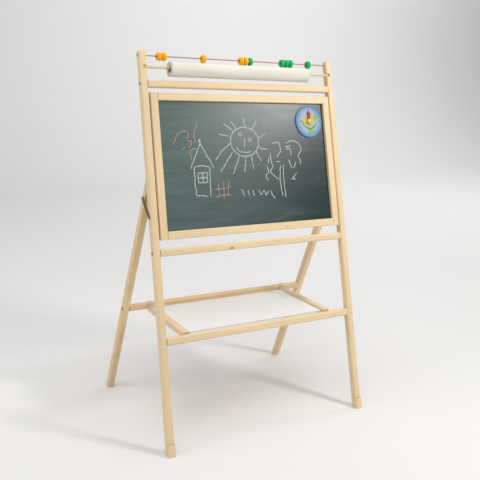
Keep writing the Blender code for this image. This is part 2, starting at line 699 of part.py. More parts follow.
def make_shelf_hinge(side, word):
    """A small butt hinge: one leaf on the side rail, the other on the rear rail."""
    middle = SHELF_HALF - SHELF_BAR / 2
    outer = spread(side, middle + 0.0002, middle + 0.0070)
    inner = spread(side, middle - 0.0070, middle - 0.0002)
    both = spread(side, middle - 0.0070, middle + 0.0070)
    over = SHELF_TOP - SHELF_PIVOT
    name = f"shelf_hinge_leaf_{word}"
    base = over + GAP
    outline = [
        (-0.0180, base), (-0.0008, base), (-0.0008, base + 0.0018),
        (-0.0030, base + 0.0010), (-0.0180, base + 0.0010),
    ]
    mesh = prism_mesh(name, outline, *both)
    leaf = finish(name, mesh, brass(name), shelf)
    cut(leaf, cylinder_mesh("knuckle_space", 0.0024, outer[0] - 0.001, outer[1] + 0.001, 20), shelf)
    cut(leaf, cylinder_mesh("knuckle", 0.0020, *inner, 20), shelf, operation="UNION")
    cut(leaf, cylinder_mesh("bore", 0.0011, inner[0] - 0.01, inner[1] + 0.01, 12), shelf)
    name = f"shelf_hinge_rail_leaf_{word}"
    top = leg_height(0, REAR_RAIL_TOP) - leg_height(0, SHELF_PIVOT)
    base = top + GAP
    outline = [(0.0004, base), (0.0120, base), (0.0120, base + 0.0010), (0.0004, base + 0.0010)]
    mesh = prism_mesh(name, outline, *both)
    at = (0, 0, leg_height(0, SHELF_PIVOT))
    leaf = finish(name, mesh, brass(name), rear, at)
    cut(leaf, cylinder_mesh("knuckle_space", 0.0024, inner[0] - 0.001, inner[1] + 0.001, 20), rear, at)
    cut(leaf, cylinder_mesh("knuckle", 0.0020, *outer, 20), rear, at, operation="UNION")
    pin = spread(side, middle - 0.0060, middle + 0.0010)
    cut(leaf, cylinder_mesh("pin", 0.0008, *pin, 12), rear, at, operation="UNION")
    relief = spread(side, middle - 0.0080, middle + 0.0080)
    cut(bpy.data.objects["rear_rail"], cylinder_mesh("relief", 0.0024, *relief, 20), rear, at)


clear_scene()
parts = make_collection("standing_easel")
cutters = make_collection("cutters", True)
easel = make_empty("easel_centre", (0, -middle_y(), 0), (0, 0, 0))
front = make_empty("front_frame_lean", (0, 0, 0), (-LEAN, 0, 0), easel)
rear = make_empty("rear_leg_hinge", (0, *hinge_point()), (REAR_LEAN, 0, 0), easel)
shelf = make_empty("shelf_hinge", (0, leg_plane(SHELF_PIVOT), SHELF_PIVOT), (0, 0, 0), easel)
make_post(-1, "post_left")
make_post(1, "post_right")
make_front_rails()
make_board()
make_clock()
make_rod_and_beads()
make_roll()
make_leg(-1, "rear_leg_left")
make_leg(1, "rear_leg_right")
make_rear_rail()
for hand_side, hand_word in ((-1, "left"), (1, "right")):
    make_leg_hinge(hand_side, hand_word)
    make_stay(hand_side, hand_word)
make_shelf()
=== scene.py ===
import math
import random

import bmesh
import bpy
from mathutils import Matrix, Vector


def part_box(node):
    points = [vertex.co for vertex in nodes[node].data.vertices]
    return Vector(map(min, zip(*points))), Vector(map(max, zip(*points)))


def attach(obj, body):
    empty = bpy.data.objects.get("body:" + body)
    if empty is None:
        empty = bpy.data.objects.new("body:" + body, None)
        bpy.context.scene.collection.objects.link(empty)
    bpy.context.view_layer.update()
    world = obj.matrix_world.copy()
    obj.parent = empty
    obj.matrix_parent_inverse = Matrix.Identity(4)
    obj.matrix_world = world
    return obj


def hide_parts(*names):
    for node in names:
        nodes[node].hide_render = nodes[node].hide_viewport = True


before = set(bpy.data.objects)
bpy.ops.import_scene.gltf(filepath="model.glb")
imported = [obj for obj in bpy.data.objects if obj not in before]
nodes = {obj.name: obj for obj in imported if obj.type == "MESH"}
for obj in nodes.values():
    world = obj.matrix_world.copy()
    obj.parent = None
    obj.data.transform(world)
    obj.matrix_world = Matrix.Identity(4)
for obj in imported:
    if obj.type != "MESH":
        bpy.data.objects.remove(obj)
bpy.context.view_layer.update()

print("frame loaded:", len(nodes), "nodes")


# small helpers for shader trees
def newMaterial(name):
    made = bpy.data.materials.new(name)
    made.use_nodes = True
    tree = made.node_tree
    return made, tree, tree.nodes["Principled BSDF"]


def newGroup(name, inputs, outputs):
    kinds = {"color": "NodeSocketColor", "value": "NodeSocketFloat", "vector": "NodeSocketVector"}
    group = bpy.data.node_groups.new(name, "ShaderNodeTree")
    for label, kind, start in inputs:
        socket = group.interface.new_socket(name=label, in_out="INPUT", socket_type=kinds[kind])
        if start is not None:
            socket.default_value = start
    for label, kind in outputs:
        group.interface.new_socket(name=label, in_out="OUTPUT", socket_type=kinds[kind])
    given = group.nodes.new("NodeGroupInput")
    result = group.nodes.new("NodeGroupOutput")
    return group, given.outputs, result.inputs


def plug(tree, socket, value):
    if isinstance(value, bpy.types.NodeSocket):
        tree.links.new(value, socket)
    elif isinstance(value, (tuple, list)) and len(value) == 3 and socket.type == "RGBA":
        socket.default_value = (*value, 1.0)
    else:
        socket.default_value = value


def add(tree, kind, values=None, **settings):
    made = tree.nodes.new("ShaderNode" + kind)
    for name, setting in settings.items():
        setattr(made, name, setting)
    for key, value in (values or {}).items():
        plug(tree, made.inputs[key], value)
    return made


def calc(tree, operation, first, second=None, third=None):
    values = {i: v for i, v in enumerate((first, second, third)) if v is not None}
    return add(tree, "Math", values, operation=operation).outputs[0]


def vectorCalc(tree, operation, first, second):
    return add(tree, "VectorMath", {0: first, 1: second}, operation=operation).outputs["Vector"]


def length(tree, vector):
    return add(tree, "VectorMath", {0: vector}, operation="LENGTH").outputs["Value"]


def distance(tree, first, second):
    squares = calc(tree, "ADD", calc(tree, "POWER", first, 2.0), calc(tree, "POWER", second, 2.0))
    return calc(tree, "SQRT", squares)


def remap(tree, value, low, high, toLow=0.0, toHigh=1.0, smooth=True):
    kind = "SMOOTHSTEP" if smooth else "LINEAR"
    values = {"Value": value, "From Min": low, "From Max": high, "To Min": toLow, "To Max": toHigh}
    return add(tree, "MapRange", values, interpolation_type=kind, clamp=True).outputs["Result"]


def mixColor(tree, factor, first, second, how="MIX"):
    made = tree.nodes.new("ShaderNodeMix")
    made.data_type = "RGBA"
    made.blend_type = how
    plug(tree, made.inputs[0], factor)
    plug(tree, made.inputs[6], first)
    plug(tree, made.inputs[7], second)
    return made.outputs[2]


def noise(tree, vector, scale, detail=3.0, roughness=0.5, distortion=0.0, output="Fac"):
    values = {"Vector": vector, "Scale": scale, "Detail": detail}
    values |= {"Roughness": roughness, "Distortion": distortion}
    return add(tree, "TexNoise", values).outputs[output]


def stretch(tree, vector, scale, turn=(0, 0, 0), move=(0, 0, 0)):
    values = {"Vector": vector, "Scale": scale, "Rotation": turn, "Location": move}
    return add(tree, "Mapping", values).outputs["Vector"]


def useGroup(tree, group, values):
    made = tree.nodes.new("ShaderNodeGroup")
    made.node_tree = group
    for key, value in values.items():
        plug(tree, made.inputs[key], value)
    return made.outputs


def bumpInto(tree, shader, height, strength, distance):
    made = add(tree, "Bump", {"Height": height, "Strength": strength, "Distance": distance})
    tree.links.new(made.outputs["Normal"], shader.inputs["Normal"])


def finishValues(shader, **values):
    for name, value in values.items():
        shader.inputs[name.replace("_", " ")].default_value = value


# effects shared by several materials
def makePineGroup():
    group, given, result = newGroup("pine grain", [
        ("Vector", "vector", None),
        ("Pith", "vector", (0.04, 0.02, 0.0)),
        ("Early Wood", "color", (0.80, 0.62, 0.38, 1)),
        ("Late Wood", "color", (0.62, 0.40, 0.20, 1)),
        ("Ring Spacing", "value", 0.0022),
        ("Ring Strength", "value", 0.5),
        ("Knot At", "vector", (9.0, 9.0, 9.0)),
        ("Knot Radius", "value", 0.004),
    ], [("Color", "color"), ("Roughness", "value"), ("Height", "value"), ("Late Mask", "value")])
    at = given["Vector"]
    slow = noise(group, stretch(group, at, (26.0, 26.0, 3.2)), 1.0, 2.0, output="Color")
    drift = vectorCalc(group, "SUBTRACT", slow, (0.5, 0.5, 0.5))
    drift = vectorCalc(group, "MULTIPLY", drift, (0.009, 0.009, 0.0))
    bent = vectorCalc(group, "ADD", at, drift)
    fromKnot = vectorCalc(group, "SUBTRACT", at, given["Knot At"])
    knotAway = length(group, vectorCalc(group, "MULTIPLY", fromKnot, (1.0, 1.0, 0.55)))
    knotAway = calc(group, "DIVIDE", knotAway, given["Knot Radius"])
    around = remap(group, knotAway, 0.6, 4.5, 1.0, 0.0)
    fromPith = vectorCalc(group, "SUBTRACT", bent, given["Pith"])
    reach = length(group, vectorCalc(group, "MULTIPLY", fromPith, (1.0, 1.0, 0.0)))
    swell = calc(group, "MULTIPLY", around, calc(group, "MULTIPLY", given["Knot Radius"], 1.6))
    reach = calc(group, "ADD", reach, swell)
    ring = calc(group, "DIVIDE", reach, given["Ring Spacing"])
    wander = noise(group, stretch(group, at, (60.0, 60.0, 5.0)), 1.0, 2.0)
    ring = calc(group, "ADD", ring, calc(group, "MULTIPLY", wander, 0.9))
    phase = calc(group, "FRACT", ring)
    rise = remap(group, phase, 0.30, 0.90)
    fall = remap(group, phase, 0.92, 1.0, 1.0, 0.0)
    late = calc(group, "MULTIPLY", rise, fall)
    year = calc(group, "FLOOR", ring)
    yearly = add(group, "TexWhiteNoise", {"W": year}, noise_dimensions="1D").outputs["Value"]
    late = calc(group, "MULTIPLY", late, remap(group, yearly, 0.0, 1.0, 0.45, 1.0, False))
    strength = calc(group, "MULTIPLY", late, given["Ring Strength"])
    color = mixColor(group, strength, given["Early Wood"], given["Late Wood"])
    fibre = noise(group, stretch(group, at, (1500.0, 1500.0, 26.0)), 1.0, 3.0, 0.65)
    streak = noise(group, stretch(group, at, (240.0, 240.0, 4.0)), 1.0, 2.0)
    patch = noise(group, stretch(group, at, (16.0, 16.0, 4.5)), 1.0, 3.0)
    fleck = noise(group, stretch(group, at, (700.0, 700.0, 34.0)), 1.0, 1.0)
    fleck = remap(group, fleck, 0.66, 0.78)
    tone = calc(group, "MULTIPLY_ADD", calc(group, "SUBTRACT", fibre, 0.5), 0.10, 1.0)
    tone = calc(group, "MULTIPLY_ADD", calc(group, "SUBTRACT", streak, 0.5), 0.16, tone)
    tone = calc(group, "MULTIPLY_ADD", calc(group, "SUBTRACT", patch, 0.5), 0.20, tone)
    grey = add(group, "CombineColor", {0: tone, 1: tone, 2: tone}).outputs[0]
    color = mixColor(group, 1.0, color, grey, "MULTIPLY")
    color = mixColor(group, calc(group, "MULTIPLY", fleck, 0.22), color, (0.48, 0.29, 0.13))
    ragged = calc(group, "MULTIPLY_ADD", calc(group, "SUBTRACT", wander, 0.5), 0.5, knotAway)
    knot = remap(group, ragged, 0.75, 1.15, 1.0, 0.0)
    knotRing = calc(group, "SINE", calc(group, "MULTIPLY", knotAway, 16.0))
    knotShare = remap(group, knotRing, -1.0, 1.0, 0.2, 0.8)
    knotColor = mixColor(group, knotShare, (0.30, 0.14, 0.06), (0.48, 0.25, 0.10))
    color = mixColor(group, calc(group, "MULTIPLY", around, 0.30), color, (0.66, 0.40, 0.18))
    color = mixColor(group, knot, color, knotColor)
    rough = calc(group, "MULTIPLY_ADD", fibre, 0.16, 0.44)
    rough = calc(group, "MULTIPLY_ADD", late, -0.08, rough)
    height = calc(group, "MULTIPLY_ADD", late, 0.35, calc(group, "MULTIPLY", fibre, 0.65))
    height = calc(group, "MULTIPLY_ADD", fleck, -0.5, height)
    plug(group, result["Color"], color)
    plug(group, result["Roughness"], rough)
    plug(group, result["Height"], height)
    plug(group, result["Late Mask"], late)
    return group


def makeSmudgeGroup():
    group, given, result = newGroup("smudges", [
        ("Vector", "vector", None),
        ("Size", "value", 0.03),
        ("Coverage", "value", 0.4),
    ], [("Mask", "value"), ("Fine", "value")])
    scaled = vectorCalc(group, "DIVIDE", given["Vector"], add(group, "CombineXYZ", {
        0: given["Size"], 1: given["Size"], 2: given["Size"]}).outputs[0])
    broad = noise(group, scaled, 1.0, 4.0, 0.6, 0.4)
    fine = noise(group, scaled, 7.0, 4.0, 0.65)
    both = calc(group, "MULTIPLY_ADD", fine, 0.35, calc(group, "MULTIPLY", broad, 0.65))
    edge = remap(group, given["Coverage"], 0.0, 1.0, 0.68, 0.34, False)
    mask = remap(group, both, edge, calc(group, "ADD", edge, 0.22))
    plug(group, result["Mask"], mask)
    plug(group, result["Fine"], fine)
    return group


def makeScratchGroup():
    group, given, result = newGroup("fine scratches", [
        ("Vector", "vector", None),
        ("Scale", "value", 1.0),
        ("Amount", "value", 0.4),
    ], [("Mask", "value")])
    masks = []
    for turn, seed in ((0.4, 3.1), (1.5, 7.7), (2.6, 12.3)):
        tilt = (turn, turn * 0.6, turn * 1.3)
        at = stretch(group, given["Vector"], (1.0, 1.0, 1.0), tilt, (seed, seed, seed))
        at = vectorCalc(group, "MULTIPLY", at, (1600.0, 1600.0, 70.0))
        scaled = add(group, "VectorMath", {0: at, "Scale": given["Scale"]}, operation="SCALE")
        lines = noise(group, scaled.outputs["Vector"], 1.0, 1.0)
        masks.append(remap(group, lines, 0.70, 0.78))
    both = calc(group, "MAXIMUM", calc(group, "MAXIMUM", masks[0], masks[1]), masks[2])
    plug(group, result["Mask"], calc(group, "MULTIPLY", both, given["Amount"]))
    return group


pineGroup = makePineGroup()
smudgeGroup = makeSmudgeGroup()
scratchGroup = makeScratchGroup()
print("shared effects made")


# wood
pine = {
    "leanDegrees": 14.4,          # of the front frame
    "rearLeanDegrees": 19.9,
    "early": (0.800, 0.635, 0.400),
    "late": (0.640, 0.435, 0.220),
    "warmEarly": (0.740, 0.530, 0.270),
    "warmLate": (0.560, 0.330, 0.140),
    "endGrain": (0.600, 0.410, 0.225),
    "ringSpacing": 0.0024,
    "ringStrength": 0.42,
}
grainTurns = {                   # turns each grain direction to point up the local Z
    "post": (math.radians(pine["leanDegrees"]), 0, 0),
    "rearLeg": (-math.radians(pine["rearLeanDegrees"]), 0, 0),
    "across": (0, math.radians(-90), 0),
    "shelfSide": (math.radians(90), 0, 0),
}
woodPieces = {                   # grain direction, warmth, knot as (share of the length, across, radius); the rear rail's high warmth is painted shade
    "post_left": ("post", 0.20, None),
    "post_right": ("post", 0.10, None),
    "rear_leg_left": ("rearLeg", 0.50, (0.70, 0.002, 0.0022)),
    "rear_leg_right": ("rearLeg", 0.05, None),
    "top_rail": ("across", 0.30, None),
    "middle_rail": ("across", 0.15, (0.357, 0.002, 0.0028)),
    "shelf_front_rail": ("across", 0.05, None),
    # painted shade: the rear rail is made warmer and darker to stand for the shadow it lies in
    "rear_rail": ("across", 1.10, None),
    "board_stile_left": ("post", 0.30, None),
    "board_stile_right": ("post", 0.05, None),
    "board_rail_top": ("across", 0.00, None),
    "board_rail_bottom": ("across", 0.15, (0.69, 0.001, 0.0013)),
    "shelf_side_left": ("shelfSide", 0.10, None),
    "shelf_side_right": ("shelfSide", 0.20, None),
    "roll_dowel": ("across", 0.40, None),
}


def blendColor(first, second, share):
    return tuple(a + (b - a) * share for a, b in zip(first, second))


def pineMaterial(name, direction, warmthAndShade, knot, draw):
    made, tree, shader = newMaterial("pine_" + name)
    low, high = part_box(name)
    turn = grainTurns[direction]
    spin = Matrix.Rotation(turn[0], 3, "X") @ Matrix.Rotation(turn[1], 3, "Y")
    centre = spin @ ((low + high) / 2)
    at = add(tree, "TexCoord").outputs["Object"]
    local = stretch(tree, at, (1, 1, 1), turn, tuple(-centre))
    knotAt, radius = (9.0, 9.0, 9.0), 0.001
    if knot:
        share, across, radius = knot
        along = max(abs(c) for c in spin @ (high - low))
        knotAt = (across, -0.0085, (share - 0.5) * along)
    pith = (draw.uniform(0.02, 0.06) * draw.choice((-1, 1)), draw.uniform(0.015, 0.05), 0.0)
    early = blendColor(pine["early"], pine["warmEarly"], warmthAndShade * 0.5)
    late = blendColor(pine["late"], pine["warmLate"], warmthAndShade * 0.5)
    grain = useGroup(tree, pineGroup, {
        "Vector": local, "Pith": pith, "Early Wood": early, "Late Wood": late,
        "Ring Spacing": pine["ringSpacing"] * draw.uniform(0.8, 1.3),
        "Ring Strength": pine["ringStrength"] * draw.uniform(0.8, 1.15),
        "Knot At": knotAt, "Knot Radius": radius,
    })
    # end grain shows where the surface faces along the grain
    facing = add(tree, "TexCoord").outputs["Normal"]
    alongGrain = spin.inverted() @ Vector((0, 0, 1))
    facing = add(tree, "VectorMath", {0: facing, 1: tuple(alongGrain)}, operation="DOT_PRODUCT")
    ends = remap(tree, calc(tree, "ABSOLUTE", facing.outputs["Value"]), 0.80, 0.93)
    endColor = mixColor(tree, grain["Late Mask"], pine["endGrain"], (0.40, 0.23, 0.10))
    color = mixColor(tree, calc(tree, "MULTIPLY", ends, 0.75), grain["Color"], endColor)
    grime = useGroup(tree, smudgeGroup, {"Vector": at, "Size": 0.05, "Coverage": 0.28})
    color = mixColor(tree, calc(tree, "MULTIPLY", grime["Mask"], 0.10), color, (0.50, 0.38, 0.26))
    plug(tree, shader.inputs["Base Color"], color)
    plug(tree, shader.inputs["Roughness"], calc(tree, "MULTIPLY_ADD", ends, 0.2, grain["Roughness"]))
    bumpInto(tree, shader, grain["Height"], 0.35, 0.0004)
    finishValues(shader, IOR=1.45, Specular_IOR_Level=0.42)
    return made


def setMaterial(piece, material):
    for i in range(len(piece.material_slots)):
        piece.material_slots[i].link = "OBJECT"
        piece.material_slots[i].material = material


woodDraw = random.Random(11)
for woodName, (direction, warmthAndShade, knot) in woodPieces.items():
    setMaterial(nodes[woodName], pineMaterial(woodName, direction, warmthAndShade, knot, woodDraw))
print("wood finished")


# mesh helpers
def keepMesh(name, shape, material, smoothAngle=None):
    bmesh.ops.recalc_face_normals(shape, faces=shape.faces)
    mesh = bpy.data.meshes.new(name)
    shape.to_mesh(mesh)
    shape.free()
    made = bpy.data.objects.new(name, mesh)
    bpy.context.scene.collection.objects.link(made)
    mesh.materials.append(material)
    if smoothAngle is not None:
        mesh.polygons.foreach_set("use_smooth", [True] * len(mesh.polygons))
        edges = bmesh.new()
        edges.from_mesh(mesh)
        for edge in edges.edges:
            edge.smooth = len(edge.link_faces) == 2 and edge.calc_face_angle() < math.radians(smoothAngle)
        edges.to_mesh(mesh)
        edges.free()
    return made


def turned(shape, profile, steps, wobble=None):
    rings = []
    for along, radius in profile:
        if radius == 0:
            rings.append([shape.verts.new((along, 0, 0))])
            continue
        ring = []
        for i in range(steps):
            turn = 2 * math.pi * i / steps
            reach = radius * (wobble(turn, along) if wobble else 1)
            ring.append(shape.verts.new((along, reach * math.cos(turn), reach * math.sin(turn))))
        rings.append(ring)
    pairs = list(zip(rings, rings[1:]))
    if profile[0][1] > 0 and profile[-1][1] > 0:
        pairs.append((rings[-1], rings[0]))
    for first, second in pairs:
        for i in range(steps):
            j = (i + 1) % steps
            if len(first) == 1:
                shape.faces.new((first[0], second[j], second[i]))
            elif len(second) == 1:
                shape.faces.new((first[i], first[j], second[0]))
            else:
                shape.faces.new((first[i], first[j], second[j], second[i]))


def applyModifiers(piece):
    graph = bpy.context.evaluated_depsgraph_get()
    mesh = bpy.data.meshes.new_from_object(piece.evaluated_get(graph))
    piece.modifiers.clear()
    piece.data = mesh


# metal
metal = {
    "screw": (0.36, 0.30, 0.23), "screwWorn": (0.17, 0.12, 0.08),
    "stay": (0.20, 0.135, 0.085), "stayWorn": (0.09, 0.055, 0.035),
    "brass": (0.62, 0.47, 0.23), "brassWorn": (0.32, 0.21, 0.10),
    "zinc": (0.66, 0.54, 0.37), "zincWorn": (0.52, 0.40, 0.25),
    "pin": (0.34, 0.19, 0.07), "pinWorn": (0.16, 0.08, 0.03),
    "rod": (0.52, 0.22, 0.14), "rodWorn": (0.32, 0.13, 0.09),
}


def metalMaterial(name, clean, worn, roughness=0.32, smudge=0.006, metallic=1.0):
    made, tree, shader = newMaterial(name)
    at = add(tree, "TexCoord").outputs["Object"]
    dull = useGroup(tree, smudgeGroup, {"Vector": at, "Size": smudge, "Coverage": 0.45})
    scratch = useGroup(tree, scratchGroup, {"Vector": at, "Scale": 1.4, "Amount": 0.8})["Mask"]
    color = mixColor(tree, calc(tree, "MULTIPLY", dull["Mask"], 0.65), clean, worn)
    bright = tuple(min(1, c * 1.5) for c in clean)
    color = mixColor(tree, calc(tree, "MULTIPLY", scratch, 0.5), color, bright)
    rough = calc(tree, "MULTIPLY_ADD", dull["Mask"], 0.22, roughness)
    rough = calc(tree, "MULTIPLY_ADD", dull["Fine"], 0.10, rough)
    plug(tree, shader.inputs["Base Color"], color)
    plug(tree, shader.inputs["Roughness"], rough)
    shader.inputs["Metallic"].default_value = metallic
    bumpInto(tree, shader, calc(tree, "SUBTRACT", dull["Fine"], scratch), 0.25, 0.0001)
    return made


screwMetal = metalMaterial("screw_steel", metal["screw"], metal["screwWorn"], 0.34, 0.0025)
stayMetal = metalMaterial("stay_steel", metal["stay"], metal["stayWorn"], 0.46, 0.007, 0.75)
brassMetal = metalMaterial("hinge_brass", metal["brass"], metal["brassWorn"], 0.30, 0.005)
zincMetal = metalMaterial("shelf_hinge_zinc", metal["zinc"], metal["zincWorn"], 0.55, 0.004, 0.35)
pinMetal = metalMaterial("board_pin_brass", metal["pin"], metal["pinWorn"], 0.35, 0.003, 0.7)
rodMetal = metalMaterial("lacquered_rod", metal["rod"], metal["rodWorn"], 0.30, 0.012, 0.55)
for side in ("left", "right"):
    for leaf in ("hinge_post_leaf_", "hinge_leg_leaf_"):
        setMaterial(nodes[leaf + side], brassMetal)
    for leaf in ("shelf_hinge_leaf_", "shelf_hinge_rail_leaf_"):
        setMaterial(nodes[leaf + side], zincMetal)
    for place in ("_low", "_high"):
        setMaterial(nodes["board_pin_" + side + place], pinMetal)
setMaterial(nodes["bead_rod"], rodMetal)

screw = {
    "headRadius": 0.0042, "dome": 0.0018, "domeSteps": 8, "edge": 0.0002,
    "shankRadius": 0.0020, "point": 0.0018, "steps": 40,
    "recess": 0.0010, "armHalf": 0.00055, "armLength": 0.0024,
}
screwPieces = {
    "top_rail_screw": ("front_frame", "steel"), "middle_rail_screw": ("front_frame", "steel"),
    "stay_post_screw": ("front_frame", "steel"), "stay_leg_screw": ("rear_frame", "steel"),
    "rear_rail_screw": ("rear_frame", "steel"),
}


def crossedScrew(name, node, body, sideSign, turn):
    low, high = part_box(node)
    outer = high.x if sideSign > 0 else low.x
    middle = (low + high) / 2
    shape = bmesh.new()
    r, d = screw["headRadius"], screw["dome"]
    reach = high.x - low.x - d
    profile = [(0.0, 0.0)]
    for i in range(1, screw["domeSteps"] + 1):
        a = math.radians(90 * i / screw["domeSteps"])
        profile.append((-d * (1 - math.cos(a)), r * math.sin(a)))
    under, shank = -d - screw["edge"], screw["shankRadius"]
    profile += [(under, r * 0.97), (under, shank), (-d - reach + screw["point"], shank), (-d - reach, 0.0)]
    turned(shape, profile, screw["steps"])
    head = keepMesh(name, shape, screwMetal, 40)
    cutShape = bmesh.new()
    for angle in (turn, turn + math.pi / 2):
        half, long = screw["armHalf"], screw["armLength"]
        box = bmesh.ops.create_cube(cutShape, size=1.0)["verts"]
        bmesh.ops.scale(cutShape, vec=(screw["recess"] * 2, long * 2, half * 2), verts=box)
        bmesh.ops.rotate(cutShape, cent=(0, 0, 0), matrix=Matrix.Rotation(angle, 3, "X"), verts=box)
    cutter = keepMesh(name + "_recess", cutShape, screwMetal)
    made = head.modifiers.new("recess", "BOOLEAN")
    made.object = cutter
    made.solver = "EXACT"
    made.use_self = True
    bpy.context.view_layer.update()
    applyModifiers(head)
    bpy.data.objects.remove(cutter, do_unlink=True)
    if sideSign < 0:
        head.rotation_euler = (0, 0, math.pi)
    head.location = (outer, middle.y, middle.z)
    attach(head, body)
    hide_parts(node)


screwDraw = random.Random(5)
for prefix, (body, slotName) in screwPieces.items():
    for side, sign in (("left", -1), ("right", 1)):
        node = f"{prefix}_{side}"
        crossedScrew("head_" + node, node, body, sign, screwDraw.uniform(0, 1.5))
print("screws made")


# the slotted folding stays
stay = {"join": 0.00001, "flatDegrees": 1, "edge": 0.00035, "edgeSegments": 2, "sharpDegrees": 50}


def stayPlate(side):
    node = "stay_" + side
    shape = bmesh.new()
    shape.from_mesh(nodes[node].data)
    # joins the plate's triangles into whole faces, so that only its real edges are broken
    bmesh.ops.remove_doubles(shape, verts=shape.verts, dist=stay["join"])
    flat = math.radians(stay["flatDegrees"])
    bmesh.ops.dissolve_limit(shape, angle_limit=flat, verts=shape.verts, edges=shape.edges)
    made = keepMesh(node + "_plate", shape, stayMetal)
    bevel = made.modifiers.new("broken edge", "BEVEL")
    bevel.width = stay["edge"]
    bevel.segments = stay["edgeSegments"]
    bevel.limit_method = "ANGLE"
    bevel.angle_limit = math.radians(stay["sharpDegrees"])
    bevel.harden_normals = False
    made.data.polygons.foreach_set("use_smooth", [True] * len(made.data.polygons))
    smooth = made.modifiers.new("even shading", "WEIGHTED_NORMAL")
    smooth.keep_sharp = True
    bpy.context.view_layer.update()
    applyModifiers(made)
    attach(made, node)
    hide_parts(node)


for side in ("left", "right"):
    stayPlate(side)
print("stays made")


# writing board
# the dust colour is both real chalk dust and, towards the left side, a painted reflection
slate = {
    "green": (0.008, 0.032, 0.030), "deep": (0.004, 0.013, 0.020), "dustAndSheen": (0.24, 0.42, 0.38),
    "white": (0.83, 0.84, 0.82), "thickness": 0.0040,
}


def boardMaterial():
    made, tree, shader = newMaterial("slate_and_white_faces")
    at = add(tree, "TexCoord").outputs["Object"]
    facing = add(tree, "SeparateXYZ", {0: add(tree, "TexCoord").outputs["Normal"]}).outputs["Y"]
    front = remap(tree, facing, -0.6, -0.4, 1.0, 0.0)
    broad = noise(tree, at, 5.0, 3.0)
    color = mixColor(tree, broad, slate["green"], slate["deep"])
    swept = stretch(tree, at, (5.0, 20.0, 42.0), (0.0, 0.5, 0.0))
    wiped = noise(tree, swept, 1.0, 5.0, 0.6, 0.6)
    dustAndSheen = remap(tree, wiped, 0.46, 0.74)
    smear = useGroup(tree, smudgeGroup, {"Vector": at, "Size": 0.09, "Coverage": 0.5})
    dustAndSheen = calc(tree, "MULTIPLY", dustAndSheen, calc(tree, "MULTIPLY_ADD", smear["Mask"], 0.13, 0.04))
    speck = remap(tree, noise(tree, at, 900.0, 2.0), 0.62, 0.74)
    dustAndSheen = calc(tree, "MULTIPLY_ADD", speck, 0.035, dustAndSheen)
    # painted reflection: the board is made lighter towards the left side with the dust colour, standing in
    # for the sheen it reflects there
    side = remap(tree, add(tree, "SeparateXYZ", {0: at}).outputs["X"], -0.27, 0.20, 0.20, 0.0, False)
    dustAndSheen = calc(tree, "ADD", dustAndSheen, calc(tree, "MULTIPLY", side, remap(tree, wiped, 0.2, 0.8, 0.6, 1.3)))
    color = mixColor(tree, dustAndSheen, color, slate["dustAndSheen"])
    back = mixColor(tree, calc(tree, "MULTIPLY", smear["Mask"], 0.12), slate["white"], (0.60, 0.62, 0.62))
    plug(tree, shader.inputs["Base Color"], mixColor(tree, front, back, color))
    rough = calc(tree, "MULTIPLY_ADD", smear["Fine"], 0.08, 0.27)
    rough = calc(tree, "MULTIPLY_ADD", calc(tree, "MULTIPLY", front, dustAndSheen), 0.5, rough)
    plug(tree, shader.inputs["Roughness"], rough)
    grain = noise(tree, at, 1400.0, 2.0)
    grain = calc(tree, "MULTIPLY", grain, calc(tree, "MULTIPLY_ADD", front, 0.9, 0.1))
    bumpInto(tree, shader, grain, 0.22, 0.0002)
    finishValues(shader, Specular_IOR_Level=0.42)
    return made


setMaterial(nodes["writing_board"], boardMaterial())

lean = math.radians(pine["leanDegrees"])
boardLow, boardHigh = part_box("writing_board")
faceUp = Vector((0, math.sin(lean), math.cos(lean)))
faceOut = Vector((0, -math.cos(lean), math.sin(lean)))
footUp = boardLow.z + slate["thickness"] * math.sin(lean)
faceFoot = Vector(((boardLow.x + boardHigh.x) / 2, boardLow.y, footUp))     # middle of the face's lower edge


# a point on the writing face, across and up from its foot, standing proud of it
def onBoard(across, up, proud):
    return faceFoot + Vector((across, 0, 0)) + faceUp * up + faceOut * proud


